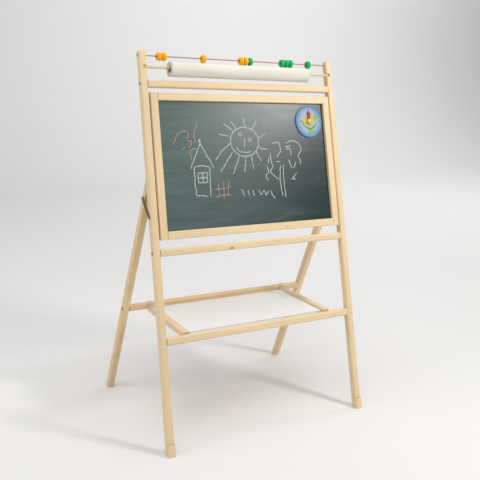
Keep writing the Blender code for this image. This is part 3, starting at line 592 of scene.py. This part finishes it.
# chalk drawing
chalk = {
    "white": (0.72, 0.76, 0.74), "pink": (0.60, 0.40, 0.34),
    "width": 0.0028, "proud": 0.00022, "edge": 0.00004, "step": 0.0016, "shake": 0.0005, "seed": 21,
    "section": ((-1, 0.0), (-0.5, 0.8), (0, 1.0), (0.5, 0.8), (1, 0.0)),     # across, height
    "whiteStrokes": [
        [(-178, 158), (-146, 222), (-150, 232)], [(-150, 232), (-130, 195), (-109, 159)],
        [(-167, 163), (-168, 117), (-165, 89)], [(-122, 161), (-124, 123), (-125, 85)],
        [(-167, 163), (-144, 165), (-122, 162)], [(-165, 89), (-148, 90), (-134, 86)],
        [(-158, 147), (-131, 148)], [(-131, 149), (-132, 123)], [(-131, 123), (-158, 122)],
        [(-158, 121), (-158, 147)], [(-144, 149), (-145, 120)], [(-159, 135), (-133, 134)],
        [(-10, 236), (-11, 209)], [(-38, 212), (-28, 201), (-12, 197), (7, 200)],
        [(-42, 252), (-71, 275)], [(-34, 261), (-50, 281)], [(-5, 265), (-9, 289)],
        [(14, 257), (31, 281)], [(33, 236), (57, 246)], [(33, 214), (43, 206), (60, 204)],
        [(25, 200), (31, 184), (41, 173)], [(8, 187), (11, 152)], [(-10, 185), (-17, 145)],
        [(-30, 188), (-53, 141)], [(-50, 199), (-91, 147)], [(-54, 223), (-84, 200), (-103, 178)],
        [(-58, 240), (-88, 247)],
        [(99, 160), (94, 120), (99, 76)], [(109, 162), (106, 120), (109, 72)],
        [(124, 221), (148, 227), (166, 218), (173, 203), (161, 184), (167, 173), (167, 161)],
        [(119, 211), (137, 211)], [(119, 204), (135, 204), (138, 185)],
        [(129, 175), (131, 163), (138, 151)], [(152, 168), (143, 151)],
        [(153, 138), (135, 123), (148, 121)],
        [(77, 219), (91, 224), (100, 220), (103, 205), (101, 196), (89, 182)],
        [(68, 195), (69, 175), (73, 157), (65, 143), (75, 134), (88, 122)],
        [(63, 182), (59, 166)], [(54, 160), (59, 144), (49, 133), (57, 120)], [(84, 171), (99, 170)],
        [(-34, 99), (-28, 96), (-24, 83)], [(-12, 98), (-8, 83)], [(4, 97), (7, 81)],
        [(23, 97), (28, 84), (39, 94), (44, 82), (55, 93)], [(61, 94), (65, 81), (73, 72)],
    ],
    "pinkStrokes": [
        [(-221, 222), (-212, 239), (-200, 251), (-186, 254), (-177, 246), (-182, 234)],
        [(-182, 229), (-170, 229), (-172, 219), (-181, 212)],
        [(-149, 281), (-153, 265), (-160, 249), (-161, 234), (-156, 223)],
        [(-178, 204), (-164, 209), (-156, 208)], [(-177, 204), (-174, 191), (-172, 181)],
        [(-198, 208), (-189, 214)],
        [(-112, 103), (-88, 105), (-63, 109)], [(-112, 82), (-92, 88), (-65, 87)],
        [(-100, 117), (-100, 83)], [(-85, 124), (-86, 79)], [(-68, 125), (-75, 85)],
    ],
    "sun": (-10, 225.5, 43.5, 39.5),     # across, up, half width, half height
    "sunEyes": [(-23, 246, 5.2), (7, 231, 4.6)],
}


def chalkMaterial(name, color):
    made, tree, shader = newMaterial(name)
    at = add(tree, "TexCoord").outputs["Object"]
    dry = noise(tree, at, 1500.0, 4.0, 0.7)
    drag = noise(tree, at, 260.0, 3.0, 0.6)
    cover = calc(tree, "MULTIPLY_ADD", drag, 0.35, calc(tree, "MULTIPLY", dry, 0.85))
    plug(tree, shader.inputs["Alpha"], remap(tree, cover, 0.42, 0.72, 0.22, 0.92))
    shade = mixColor(tree, drag, tuple(c * 0.82 for c in color), color)
    plug(tree, shader.inputs["Base Color"], shade)
    plug(tree, shader.inputs["Roughness"], remap(tree, dry, 0.0, 1.0, 0.9, 1.0))
    bumpInto(tree, shader, dry, 0.6, 0.0002)
    finishValues(shader, Specular_IOR_Level=0.2)
    return made


# one coordinate of a curve that runs from q to r, a share t of the way, with p before and s after
def curvePoint(p, q, r, s, t):
    square = (2 * p - 5 * q + 4 * r - s) * t * t
    cube = (3 * q - p - 3 * r + s) * t ** 3
    return 0.5 * (2 * q + (r - p) * t + square + cube)


def smoothLine(points, step):
    dense = []
    padded = [points[0]] + list(points) + [points[-1]]
    for a, b, c, d in zip(padded, padded[1:], padded[2:], padded[3:]):
        count = max(2, int(math.dist(b, c) / step))
        for i in range(count):
            dense.append(tuple(curvePoint(*near, i / count) for near in zip(a, b, c, d)))
    dense.append(points[-1])
    return dense


def chalkStroke(shape, points, draw):
    line = [(x / 1000, up / 1000) for x, up in points]
    line = smoothLine(line, chalk["step"])
    shakeA, shakeB = draw.uniform(0, 6), draw.uniform(0, 6)
    rows = []
    count = len(line)
    for i, (x, up) in enumerate(line):
        x += chalk["shake"] * math.sin(i * 0.41 + shakeA)
        up += chalk["shake"] * math.sin(i * 0.33 + shakeB)
        before = line[max(0, i - 1)]
        after = line[min(count - 1, i + 1)]
        dx, dy = after[0] - before[0], after[1] - before[1]
        size = math.hypot(dx, dy) or 1
        nx, ny = -dy / size, dx / size
        taper = min(1.0, 0.45 + 0.2 * min(i, count - 1 - i))
        half = chalk["width"] / 2 * taper * draw.uniform(0.75, 1.15)
        row = []
        for share, lift in chalk["section"]:
            proud = max(chalk["proud"] * lift, chalk["edge"])
            row.append(shape.verts.new(onBoard(x + nx * half * share, up + ny * half * share, proud)))
        rows.append(row)
    for first, second in zip(rows, rows[1:]):
        for k in range(4):
            shape.faces.new((first[k], first[k + 1], second[k + 1], second[k]))


def ovalLine(x, up, halfWide, halfTall, wobble, steps=28):
    line = []
    for i in range(steps + 1):
        a = math.radians(100 + 368 * i / steps)     # the ends overlap by 8 degrees
        wide = halfWide + wobble * math.sin(3 * a)
        tall = halfTall + wobble * math.cos(2 * a)
        line.append((x + wide * math.cos(a), up + tall * math.sin(a)))
    return line


chalkDraw = random.Random(chalk["seed"])
for word in ("white", "pink"):
    strokes = list(chalk[word + "Strokes"])
    if word == "white":
        strokes.append(ovalLine(*chalk["sun"], 0.9))
        for x, up, r in chalk["sunEyes"]:
            strokes.append(ovalLine(x, up, r, r, 0.3, 12))
    shape = bmesh.new()
    for stroke in strokes:
        chalkStroke(shape, stroke, chalkDraw)
    drawing = keepMesh("chalk_strokes_" + word, shape, chalkMaterial("chalk_" + word, chalk[word]), 60)
    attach(drawing, "front_frame")
print("chalk drawn")


# clock
clock = {
    "rim": (0.10, 0.24, 0.44), "ring": (0.15, 0.34, 0.54), "face": (0.34, 0.47, 0.58),
    "middle": (0.36, 0.52, 0.26), "leaf": (0.24, 0.44, 0.05), "numeral": (0.42, 0.02, 0.04),
    "arc": (0.006, 0.030, 0.022),
    "red": (0.42, 0.012, 0.008), "yellow": (0.74, 0.37, 0.004), "dark": (0.06, 0.03, 0.02),
    "numeralAt": 0.0345, "numeralSize": 0.0092, "numeralBold": 0.00028,
    "print": 0.00012, "printFoot": 0.00002, "handTip": (0.0045, 0.0065),
    "arcAt": (0.0020, 0.0063), "arcRadius": 0.0260, "arcHalfAngle": 66,
    "arcHalfWidth": 0.0020, "arcSteps": 30,
    "patches": ((0.0240, 0.0100, 0.0075, 0.0135), (0.0035, -0.0280, 0.0100, 0.0080)),
}
dialLow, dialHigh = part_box("clock_dial")
dialCentre = (dialLow + dialHigh) / 2
dialRadius = (dialHigh.x - dialLow.x) / 2
dialFront = max(faceOut.dot(v.co) for v in nodes["clock_dial"].data.vertices)


# a point over the dial's front face, across and up from its centre
def clockPoint(across, up, proud):
    flat = Vector((dialCentre.x, 0, 0)) + faceUp * (faceUp.dot(dialCentre) + up)
    return flat + Vector((across, 0, 0)) + faceOut * (dialFront + proud)


def dialMaterial():
    made, tree, shader = newMaterial("printed_dial")
    at = add(tree, "TexCoord").outputs["Object"]
    local = vectorCalc(tree, "SUBTRACT", at, tuple(dialCentre))
    parts = add(tree, "SeparateXYZ", {0: local})
    up = calc(tree, "MULTIPLY", parts.outputs["Z"], math.cos(lean))
    up = calc(tree, "MULTIPLY_ADD", parts.outputs["Y"], math.sin(lean), up)
    away = distance(tree, parts.outputs["X"], up)
    rim = remap(tree, away, dialRadius * 0.86, dialRadius * 0.95)
    inner = remap(tree, away, dialRadius * 0.30, dialRadius * 0.62, 1.0, 0.0)
    color = mixColor(tree, inner, clock["face"], clock["middle"])
    outer = remap(tree, away, dialRadius * 0.62, dialRadius * 0.84)
    color = mixColor(tree, outer, color, clock["ring"])
    cloud = noise(tree, at, 38.0, 2.0)
    flat = add(tree, "CombineXYZ", {0: parts.outputs["X"], 1: up}).outputs[0]
    for x, y, halfWide, halfTall in clock["patches"]:
        reach = vectorCalc(tree, "SUBTRACT", flat, (x, y, 0.0))
        reach = length(tree, vectorCalc(tree, "MULTIPLY", reach, (1 / halfWide, 1 / halfTall, 0.0)))
        reach = calc(tree, "MULTIPLY_ADD", calc(tree, "SUBTRACT", cloud, 0.5), 0.9, reach)
        color = mixColor(tree, remap(tree, reach, 0.75, 1.05, 0.9, 0.0), color, clock["leaf"])
    dots = add(tree, "TexVoronoi", {"Vector": at, "Scale": 240.0}).outputs["Distance"]
    color = mixColor(tree, remap(tree, dots, 0.10, 0.35, 0.08, 0.0), color, (0.9, 0.9, 0.9))
    color = mixColor(tree, rim, color, clock["rim"])
    wear = useGroup(tree, smudgeGroup, {"Vector": at, "Size": 0.012, "Coverage": 0.35})
    color = mixColor(tree, calc(tree, "MULTIPLY", wear["Mask"], 0.12), color, (0.78, 0.80, 0.80))
    plug(tree, shader.inputs["Base Color"], color)
    plug(tree, shader.inputs["Roughness"], calc(tree, "MULTIPLY_ADD", wear["Fine"], 0.2, 0.50))
    bumpInto(tree, shader, wear["Fine"], 0.15, 0.0001)
    finishValues(shader, Specular_IOR_Level=0.25)
    return made


def plasticMaterial(name, color, other, roughness=0.24, marble=220.0, shine=0.3):
    made, tree, shader = newMaterial(name)
    at = add(tree, "TexCoord").outputs["Object"]
    swirl = noise(tree, at, marble, 3.0, 0.5, 1.2)
    scratch = useGroup(tree, scratchGroup, {"Vector": at, "Scale": 1.0, "Amount": 0.9})["Mask"]
    worn = useGroup(tree, smudgeGroup, {"Vector": at, "Size": 0.004, "Coverage": 0.3})
    shade = mixColor(tree, remap(tree, swirl, 0.3, 0.7), color, other)
    pale = tuple(min(1, c + 0.25) for c in color)
    shade = mixColor(tree, calc(tree, "MULTIPLY", scratch, 0.25), shade, pale)
    plug(tree, shader.inputs["Base Color"], shade)
    rough = calc(tree, "MULTIPLY_ADD", worn["Mask"], 0.16, roughness)
    plug(tree, shader.inputs["Roughness"], calc(tree, "MULTIPLY_ADD", scratch, 0.25, rough))
    bumpInto(tree, shader, calc(tree, "SUBTRACT", worn["Fine"], scratch), 0.12, 0.0001)
    finishValues(shader, Specular_IOR_Level=shine)
    return made


def handMaterial():
    made = plasticMaterial("hour_hand_yellow", clock["yellow"], (0.80, 0.44, 0.01), 0.42, shine=0.15)
    tree = made.node_tree
    shader = tree.nodes["Principled BSDF"]
    now = shader.inputs["Base Color"].links[0].from_socket
    at = add(tree, "TexCoord").outputs["Object"]
    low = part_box("hour_hand")[0]
    x = add(tree, "SeparateXYZ", {0: at}).outputs["X"]
    tipFrom, tipTo = clock["handTip"]
    tip = remap(tree, x, low.x + tipFrom, low.x + tipTo, 1.0, 0.0)
    plug(tree, shader.inputs["Base Color"], mixColor(tree, tip, now, clock["dark"]))
    return made


setMaterial(nodes["clock_dial"], dialMaterial())
minuteRed = plasticMaterial("minute_hand_red", clock["red"], (0.50, 0.03, 0.015), 0.42, shine=0.12)
setMaterial(nodes["minute_hand"], minuteRed)
setMaterial(nodes["hour_hand"], handMaterial())
setMaterial(nodes["clock_knob"], plasticMaterial("knob_yellow", clock["yellow"], (0.92, 0.56, 0.05)))


def printMaterial(name, color):
    made, tree, shader = newMaterial(name)
    at = add(tree, "TexCoord").outputs["Object"]
    ink = noise(tree, at, 900.0, 3.0)
    thin = tuple(min(1, c * 1.6 + 0.05) for c in color)
    shade = mixColor(tree, remap(tree, ink, 0.4, 0.7, 0.0, 0.35), color, thin)
    plug(tree, shader.inputs["Base Color"], shade)
    plug(tree, shader.inputs["Roughness"], remap(tree, ink, 0.0, 1.0, 0.25, 0.45))
    bumpInto(tree, shader, ink, 0.1, 0.0001)
    return made


def makeNumerals():
    faceTurn = Matrix((Vector((1, 0, 0)), faceUp, faceOut)).transposed().to_4x4()
    lift = clock["print"] / 2 + clock["printFoot"]
    shape = bmesh.new()
    for hour in range(1, 13):
        angle = math.radians(90 - 30 * hour)
        words = bpy.data.curves.new("hour", "FONT")
        words.body = str(hour)
        words.size = clock["numeralSize"]
        words.align_x = "CENTER"
        words.align_y = "CENTER"
        words.extrude = clock["print"] / 2
        words.offset = clock["numeralBold"]
        words.resolution_u = 3
        holder = bpy.data.objects.new("hour", words)
        bpy.context.scene.collection.objects.link(holder)
        bpy.context.view_layer.update()
        graph = bpy.context.evaluated_depsgraph_get()
        mesh = bpy.data.meshes.new_from_object(holder.evaluated_get(graph))
        reach = clock["numeralAt"]
        at = clockPoint(reach * math.cos(angle), reach * math.sin(angle), lift)
        mesh.transform(Matrix.Translation(at) @ faceTurn)
        shape.from_mesh(mesh)
        bpy.data.objects.remove(holder, do_unlink=True)
        bpy.data.meshes.remove(mesh)
    bmesh.ops.remove_doubles(shape, verts=shape.verts, dist=0.000002)
    return keepMesh("dial_numerals", shape, printMaterial("numeral_red", clock["numeral"]))


def makeArc():
    shape = bmesh.new()
    rows = []
    steps, foot = clock["arcSteps"], clock["printFoot"]
    span, radius = clock["arcHalfAngle"], clock["arcRadius"]
    middleX, middleUp = clock["arcAt"]
    for i in range(steps + 1):
        angle = math.radians(270 - span + 2 * span * i / steps)
        wide = clock["arcHalfWidth"] * (0.6 + 0.4 * math.sin(math.pi * i / steps))
        row = []
        for out, lift in ((-wide, foot), (-wide, clock["print"]), (wide, clock["print"]), (wide, foot)):
            x = middleX + (radius + out) * math.cos(angle)
            up = middleUp + (radius + out) * math.sin(angle)
            row.append(shape.verts.new(clockPoint(x, up, lift)))
        rows.append(row)
    for first, second in zip(rows, rows[1:]):
        for k in range(4):
            shape.faces.new((first[k], first[(k + 1) % 4], second[(k + 1) % 4], second[k]))
    shape.faces.new(rows[0])
    shape.faces.new(rows[-1])
    return keepMesh("dial_arc", shape, printMaterial("arc_green", clock["arc"]))


for piece in (makeNumerals(), makeArc()):
    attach(piece, "front_frame")
print("clock made")


# counting beads
bead = {
    "steps": 64, "lobes": 8, "lobeDepth": 0.022, "bore": 0.0026,
    "yellow": ((0.95, 0.42, 0.0002), (1.0, 0.50, 0.001)),
    "green": ((0.0002, 0.42, 0.110), (0.001, 0.52, 0.16)),
}
beadPlastics = {}
for word in ("yellow", "green"):
    beadPlastics[word] = plasticMaterial("bead_" + word, *bead[word], 0.20, 160.0)


def makeBead(node, word):
    low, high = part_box(node)
    centre = (low + high) / 2
    half, big = (high.x - low.x) / 2, (high.z - low.z) / 2
    profile = [
        (-half * 0.72, bead["bore"]), (-half * 0.74, big * 0.34), (-half * 0.95, big * 0.40),
        (-half, big * 0.46), (-half, big * 0.58), (-half * 0.96, big * 0.66),
        (-half * 0.86, big * 0.76), (-half * 0.70, big * 0.87), (-half * 0.50, big * 0.95),
        (-half * 0.28, big * 0.99), (-half * 0.10, big * 0.995), (0, big * 0.985),
    ]
    profile += [(-x, r) for x, r in profile[-2::-1]]
    shape = bmesh.new()

    def wobble(turn, along):
        rise = max(0.0, 1 - abs(along) / half) ** 0.5
        return 1 - bead["lobeDepth"] * (0.5 - 0.5 * math.cos(bead["lobes"] * turn)) * rise

    turned(shape, profile, bead["steps"], wobble)
    made = keepMesh(node + "_plastic", shape, beadPlastics[word], 42)
    made.data.transform(Matrix.Rotation(beadDraw.uniform(0, 6.2), 4, "X"))
    made.location = centre
    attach(made, node)
    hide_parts(node)


beadDraw = random.Random(3)
for node in sorted(n for n in nodes if n.startswith("bead_") and n != "bead_rod"):
    makeBead(node, node.split("_")[-1])
print("beads made")


# paper roll
paper = {
    "color": (0.80, 0.775, 0.70), "shade": (0.72, 0.685, 0.60),
    "card": (0.42, 0.30, 0.19), "cardDark": (0.30, 0.20, 0.12),
    "layers": 15, "layerGap": 0.00008, "layerSlip": 0.00045, "layerLines": 0.00055,
    "overCore": 0.0003, "outerLayer": 0.0004, "endInset": 0.0006,
    "steps": 96, "rows": 24,
    "edgeTurn": 118, "sink": 0.00095, "step": 0.00035, "curl": 0.00045, "curlFrom": 0.86,     # its free edge
}


def paperMaterial():
    made, tree, shader = newMaterial("drawing_paper")
    at = add(tree, "TexCoord").outputs["Object"]
    parts = add(tree, "SeparateXYZ", {0: at})
    radial = distance(tree, parts.outputs["Y"], parts.outputs["Z"])
    fibre = noise(tree, at, 700.0, 4.0, 0.6)
    wave = noise(tree, stretch(tree, at, (5.0, 60.0, 60.0)), 1.0, 3.0)
    color = mixColor(tree, remap(tree, wave, 0.3, 0.7), paper["color"], paper["shade"])
    color = mixColor(tree, remap(tree, fibre, 0.45, 0.75, 0.0, 0.10), color, (0.62, 0.55, 0.44))
    layers = calc(tree, "SINE", calc(tree, "MULTIPLY", radial, 2 * math.pi / paper["layerLines"]))
    facing = add(tree, "SeparateXYZ", {0: add(tree, "TexCoord").outputs["Normal"]}).outputs["X"]
    onEnd = remap(tree, calc(tree, "ABSOLUTE", facing), 0.5, 0.8)
    dark = calc(tree, "MULTIPLY", onEnd, remap(tree, layers, -0.2, 1.0, 0.0, 0.38))
    color = mixColor(tree, dark, color, (0.40, 0.34, 0.26))
    plug(tree, shader.inputs["Base Color"], color)
    plug(tree, shader.inputs["Roughness"], remap(tree, fibre, 0.0, 1.0, 0.72, 0.95))
    height = calc(tree, "MULTIPLY_ADD", wave, 0.8, calc(tree, "MULTIPLY", fibre, 0.25))
    bumpInto(tree, shader, height, 0.5, 0.0006)
    finishValues(shader, Specular_IOR_Level=0.3)
    return made


def makePaper():
    low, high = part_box("paper_roll")
    coreLow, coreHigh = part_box("roll_core")
    centre = (low + high) / 2
    radius = (high.z - low.z) / 2
    inside = (coreHigh.z - coreLow.z) / 2 + paper["overCore"]
    half = (high.x - low.x) / 2
    shape = bmesh.new()
    steps, rows, count = paper["steps"], paper["rows"], paper["layers"]
    # stepped ends, each winding sliding a little against the next
    draw = random.Random(8)
    deep = radius - paper["outerLayer"] - inside
    slips = [draw.uniform(0.0, paper["layerSlip"]) for _ in range(count)]
    windings = []
    for i in range(count):
        windings.append((inside + deep * i / count, inside + deep * (i + 1) / count - paper["layerGap"]))
    profile = []
    for (inner, outer), slip in zip(windings, slips):
        profile += [(-half + slip, inner), (-half + slip, outer)]
    profile.append((-half + paper["endInset"], radius))
    for k in range(1, rows):
        profile.append((-half + 2 * half * k / rows, radius))
    profile.append((half - paper["endInset"], radius))
    for i in reversed(range(count)):
        inner, outer = windings[i]
        profile += [(half - slips[-i], outer), (half - slips[-i], inner)]
    rings = []
    for along, reach in profile:
        outside = reach == radius
        ring = []
        for i in range(steps):
            turn = 2 * math.pi * i / steps
            if outside:
                # the free edge of the sheet stands a little off the roll
                share = i / steps
                curl = max(0.0, (share - paper["curlFrom"]) / (1 - paper["curlFrom"])) ** 2
                reach = radius - paper["sink"] + paper["step"] * share + paper["curl"] * curl
            ring.append(shape.verts.new((along, reach * math.cos(turn), reach * math.sin(turn))))
        rings.append(ring)
    for first, second in zip(rings, rings[1:] + rings[:1]):
        for i in range(steps):
            j = (i + 1) % steps
            shape.faces.new((first[i], first[j], second[j], second[i]))
    made = keepMesh("paper_windings", shape, paperMaterial(), 32)
    made.data.transform(Matrix.Rotation(math.radians(paper["edgeTurn"]), 4, "X"))
    made.location = centre
    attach(made, "paper_roll")
    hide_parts("paper_roll")


def cardMaterial():
    made, tree, shader = newMaterial("roll_card")
    at = add(tree, "TexCoord").outputs["Object"]
    fibre = noise(tree, at, 600.0, 4.0, 0.6)
    parts = add(tree, "SeparateXYZ", {0: at})
    slant = calc(tree, "ADD", parts.outputs["X"], parts.outputs["Z"])
    spiralAt = calc(tree, "FRACT", calc(tree, "MULTIPLY", slant, 22.0))
    seam = remap(tree, calc(tree, "ABSOLUTE", calc(tree, "SUBTRACT", spiralAt, 0.5)), 0.0, 0.03, 1.0, 0.0)
    color = mixColor(tree, fibre, paper["card"], paper["cardDark"])
    color = mixColor(tree, calc(tree, "MULTIPLY", seam, 0.6), color, (0.16, 0.10, 0.06))
    plug(tree, shader.inputs["Base Color"], color)
    plug(tree, shader.inputs["Roughness"], remap(tree, fibre, 0.0, 1.0, 0.8, 1.0))
    bumpInto(tree, shader, fibre, 0.4, 0.0003)
    return made


makePaper()
setMaterial(nodes["roll_core"], cardMaterial())
print("paper made")


# shelf panel
panel = {
    "white": (0.83, 0.825, 0.81), "smear": (0.66, 0.62, 0.60), "scuff": (0.60, 0.58, 0.55),
    "edge": (0.80, 0.78, 0.75), "edgeDark": (0.70, 0.67, 0.62),
    "under": (0.42, 0.28, 0.16), "underDark": (0.33, 0.21, 0.11),
}


def panelMaterial():
    made, tree, shader = newMaterial("white_panel")
    at = add(tree, "TexCoord").outputs["Object"]
    facing = add(tree, "SeparateXYZ", {0: add(tree, "TexCoord").outputs["Normal"]}).outputs["Z"]
    flat = remap(tree, calc(tree, "ABSOLUTE", facing), 0.6, 0.8)
    under = remap(tree, facing, -0.8, -0.6, 1.0, 0.0)
    smear = useGroup(tree, smudgeGroup, {"Vector": at, "Size": 0.05, "Coverage": 0.42})
    scratch = useGroup(tree, scratchGroup, {"Vector": at, "Scale": 0.35, "Amount": 0.5})["Mask"]
    color = mixColor(tree, calc(tree, "MULTIPLY", smear["Mask"], 0.10), panel["white"], panel["smear"])
    color = mixColor(tree, calc(tree, "MULTIPLY", scratch, 0.2), color, panel["scuff"])
    fibre = noise(tree, at, 500.0, 4.0, 0.7)
    edge = mixColor(tree, fibre, panel["edge"], panel["edgeDark"])
    color = mixColor(tree, flat, edge, color)
    color = mixColor(tree, under, color, mixColor(tree, fibre, panel["under"], panel["underDark"]))
    plug(tree, shader.inputs["Base Color"], color)
    rough = calc(tree, "MULTIPLY_ADD", smear["Fine"], 0.16, 0.30)
    plug(tree, shader.inputs["Roughness"], calc(tree, "MULTIPLY_ADD", under, 0.4, rough))
    bumpInto(tree, shader, calc(tree, "SUBTRACT", fibre, scratch), 0.08, 0.0001)
    return made


setMaterial(nodes["shelf_panel"], panelMaterial())

# a weld joins the points of each frame mesh that lie together
weldDistance = 0.00001
for name, piece in nodes.items():
    if piece.hide_render or name in ("writing_board", "shelf_panel"):
        continue
    weld = piece.modifiers.new("join corners", "WELD")
    weld.merge_threshold = weldDistance
print("panel made")


# floor, light and camera
studio = {
    "floor": (0.82, 0.815, 0.81), "world": (0.96, 0.975, 1.0), "worldStrength": 0.22,
    "lights": {
        "key": {
            "at": (1.15, -1.36, 1.60), "aim": (0.0, 0.1, 1.0),
            "size": 0.34, "power": 21, "color": (1.0, 0.97, 0.93),
        },
        "left_panel": {
            "at": (1.30, -2.70, 1.25), "aim": (0.0, 0.0, 0.6),
            "size": 0.9, "power": 7, "color": (0.99, 1.0, 0.98),
        },
        "side": {
            "at": (-2.5, 0.2, 1.6), "aim": (0.0, 0.0, 0.9),
            "size": 1.4, "power": 20, "color": (1.0, 0.99, 0.98),
        },
        "top": {
            "at": (-0.4, -0.4, 3.4), "aim": (0.0, 0.0, 0.3),
            "size": 2.4, "power": 34, "color": (1.0, 0.985, 0.97),
        },
        "floor": {
            "at": (-2.6, -2.6, 4.6), "aim": (-3.0, -3.4, 0.0),
            "size": 3.0, "power": 75, "color": (1.0, 0.985, 0.97),
        },
        "wall": {
            "at": (3.4, 0.9, 4.3), "aim": (3.9, 4.8, 1.9),
            "size": 3.4, "power": 185, "color": (1.0, 0.99, 0.985),
        },
    },
}
# the floor paper, which bends up into the wall
sweep = {"wide": 9.0, "near": -7.0, "far": 5.0, "high": 6.0, "bend": 1.8, "bendSteps": 16}
view = {
    "at": (-0.9725, -1.5030, 0.9006), "azimuth": -29.189, "elevation": 9.665, "roll": 2.569,
    "lens": 50.392, "shift": (0.08333, -0.10833),
}


def makeFloor():
    shape = bmesh.new()
    wide, near, far, high, bend = (sweep[k] for k in ("wide", "near", "far", "high", "bend"))
    line = [(near, 0.0), (far - bend, 0.0)]
    for i in range(1, sweep["bendSteps"] + 1):
        a = math.radians(90 * i / sweep["bendSteps"])
        line.append((far - bend + bend * math.sin(a), bend - bend * math.cos(a)))
    line.append((far, high))
    rows = [[shape.verts.new((x, y, z)) for y, z in line] for x in (-wide, wide)]
    for i in range(len(line) - 1):
        shape.faces.new((rows[0][i], rows[1][i], rows[1][i + 1], rows[0][i + 1]))
    made, tree, shader = newMaterial("studio_paper")
    at = add(tree, "TexCoord").outputs["Object"]
    soft = noise(tree, at, 1.3, 2.0)
    shaded = tuple(c * 0.97 for c in studio["floor"])
    plug(tree, shader.inputs["Base Color"], mixColor(tree, soft, studio["floor"], shaded))
    finishValues(shader, Roughness=0.75, Specular_IOR_Level=0.25)
    floor = keepMesh("studio_floor", shape, made, 40)
    if sum(p.normal.z for p in floor.data.polygons) < 0:
        floor.data.flip_normals()


def makeLight(name, settings):
    lamp = bpy.data.lights.new(name, "AREA")
    lamp.shape = "SQUARE"
    lamp.size = settings["size"]
    lamp.energy = settings["power"]
    lamp.color = settings["color"]
    made = bpy.data.objects.new(name, lamp)
    bpy.context.scene.collection.objects.link(made)
    made.location = settings["at"]
    aim = Vector(settings["aim"]) - made.location
    made.rotation_euler = aim.to_track_quat("-Z", "Y").to_euler()


def makeCamera():
    lens = bpy.data.cameras.new("camera")
    made = bpy.data.objects.new("camera", lens)
    bpy.context.scene.collection.objects.link(made)
    a, e, r = (math.radians(view[k]) for k in ("azimuth", "elevation", "roll"))
    back = Vector((math.sin(a) * math.cos(e), -math.cos(a) * math.cos(e), math.sin(e)))
    right = (-back).cross(Vector((0, 0, 1))).normalized()
    up = right.cross(-back)
    turnedRight = right * math.cos(r) + up * math.sin(r)
    turnedUp = up * math.cos(r) - right * math.sin(r)
    turn = Matrix((turnedRight, turnedUp, back)).transposed().to_4x4()
    made.matrix_world = Matrix.Translation(view["at"]) @ turn
    lens.sensor_width = 36.0
    lens.lens = view["lens"]
    lens.shift_x, lens.shift_y = view["shift"]
    lens.clip_start = 0.02
    lens.clip_end = 60.0
    bpy.context.scene.camera = made


makeFloor()
for lampName, settings in studio["lights"].items():
    makeLight(lampName + "_light", settings)
world = bpy.data.worlds.new("studio")
world.use_nodes = True
background = world.node_tree.nodes["Background"]
background.inputs["Color"].default_value = (*studio["world"], 1.0)
background.inputs["Strength"].default_value = studio["worldStrength"]
bpy.context.scene.world = world
bpy.context.scene.view_settings.view_transform = "Standard"
makeCamera()
print("studio set")

bpy.context.view_layer.update()
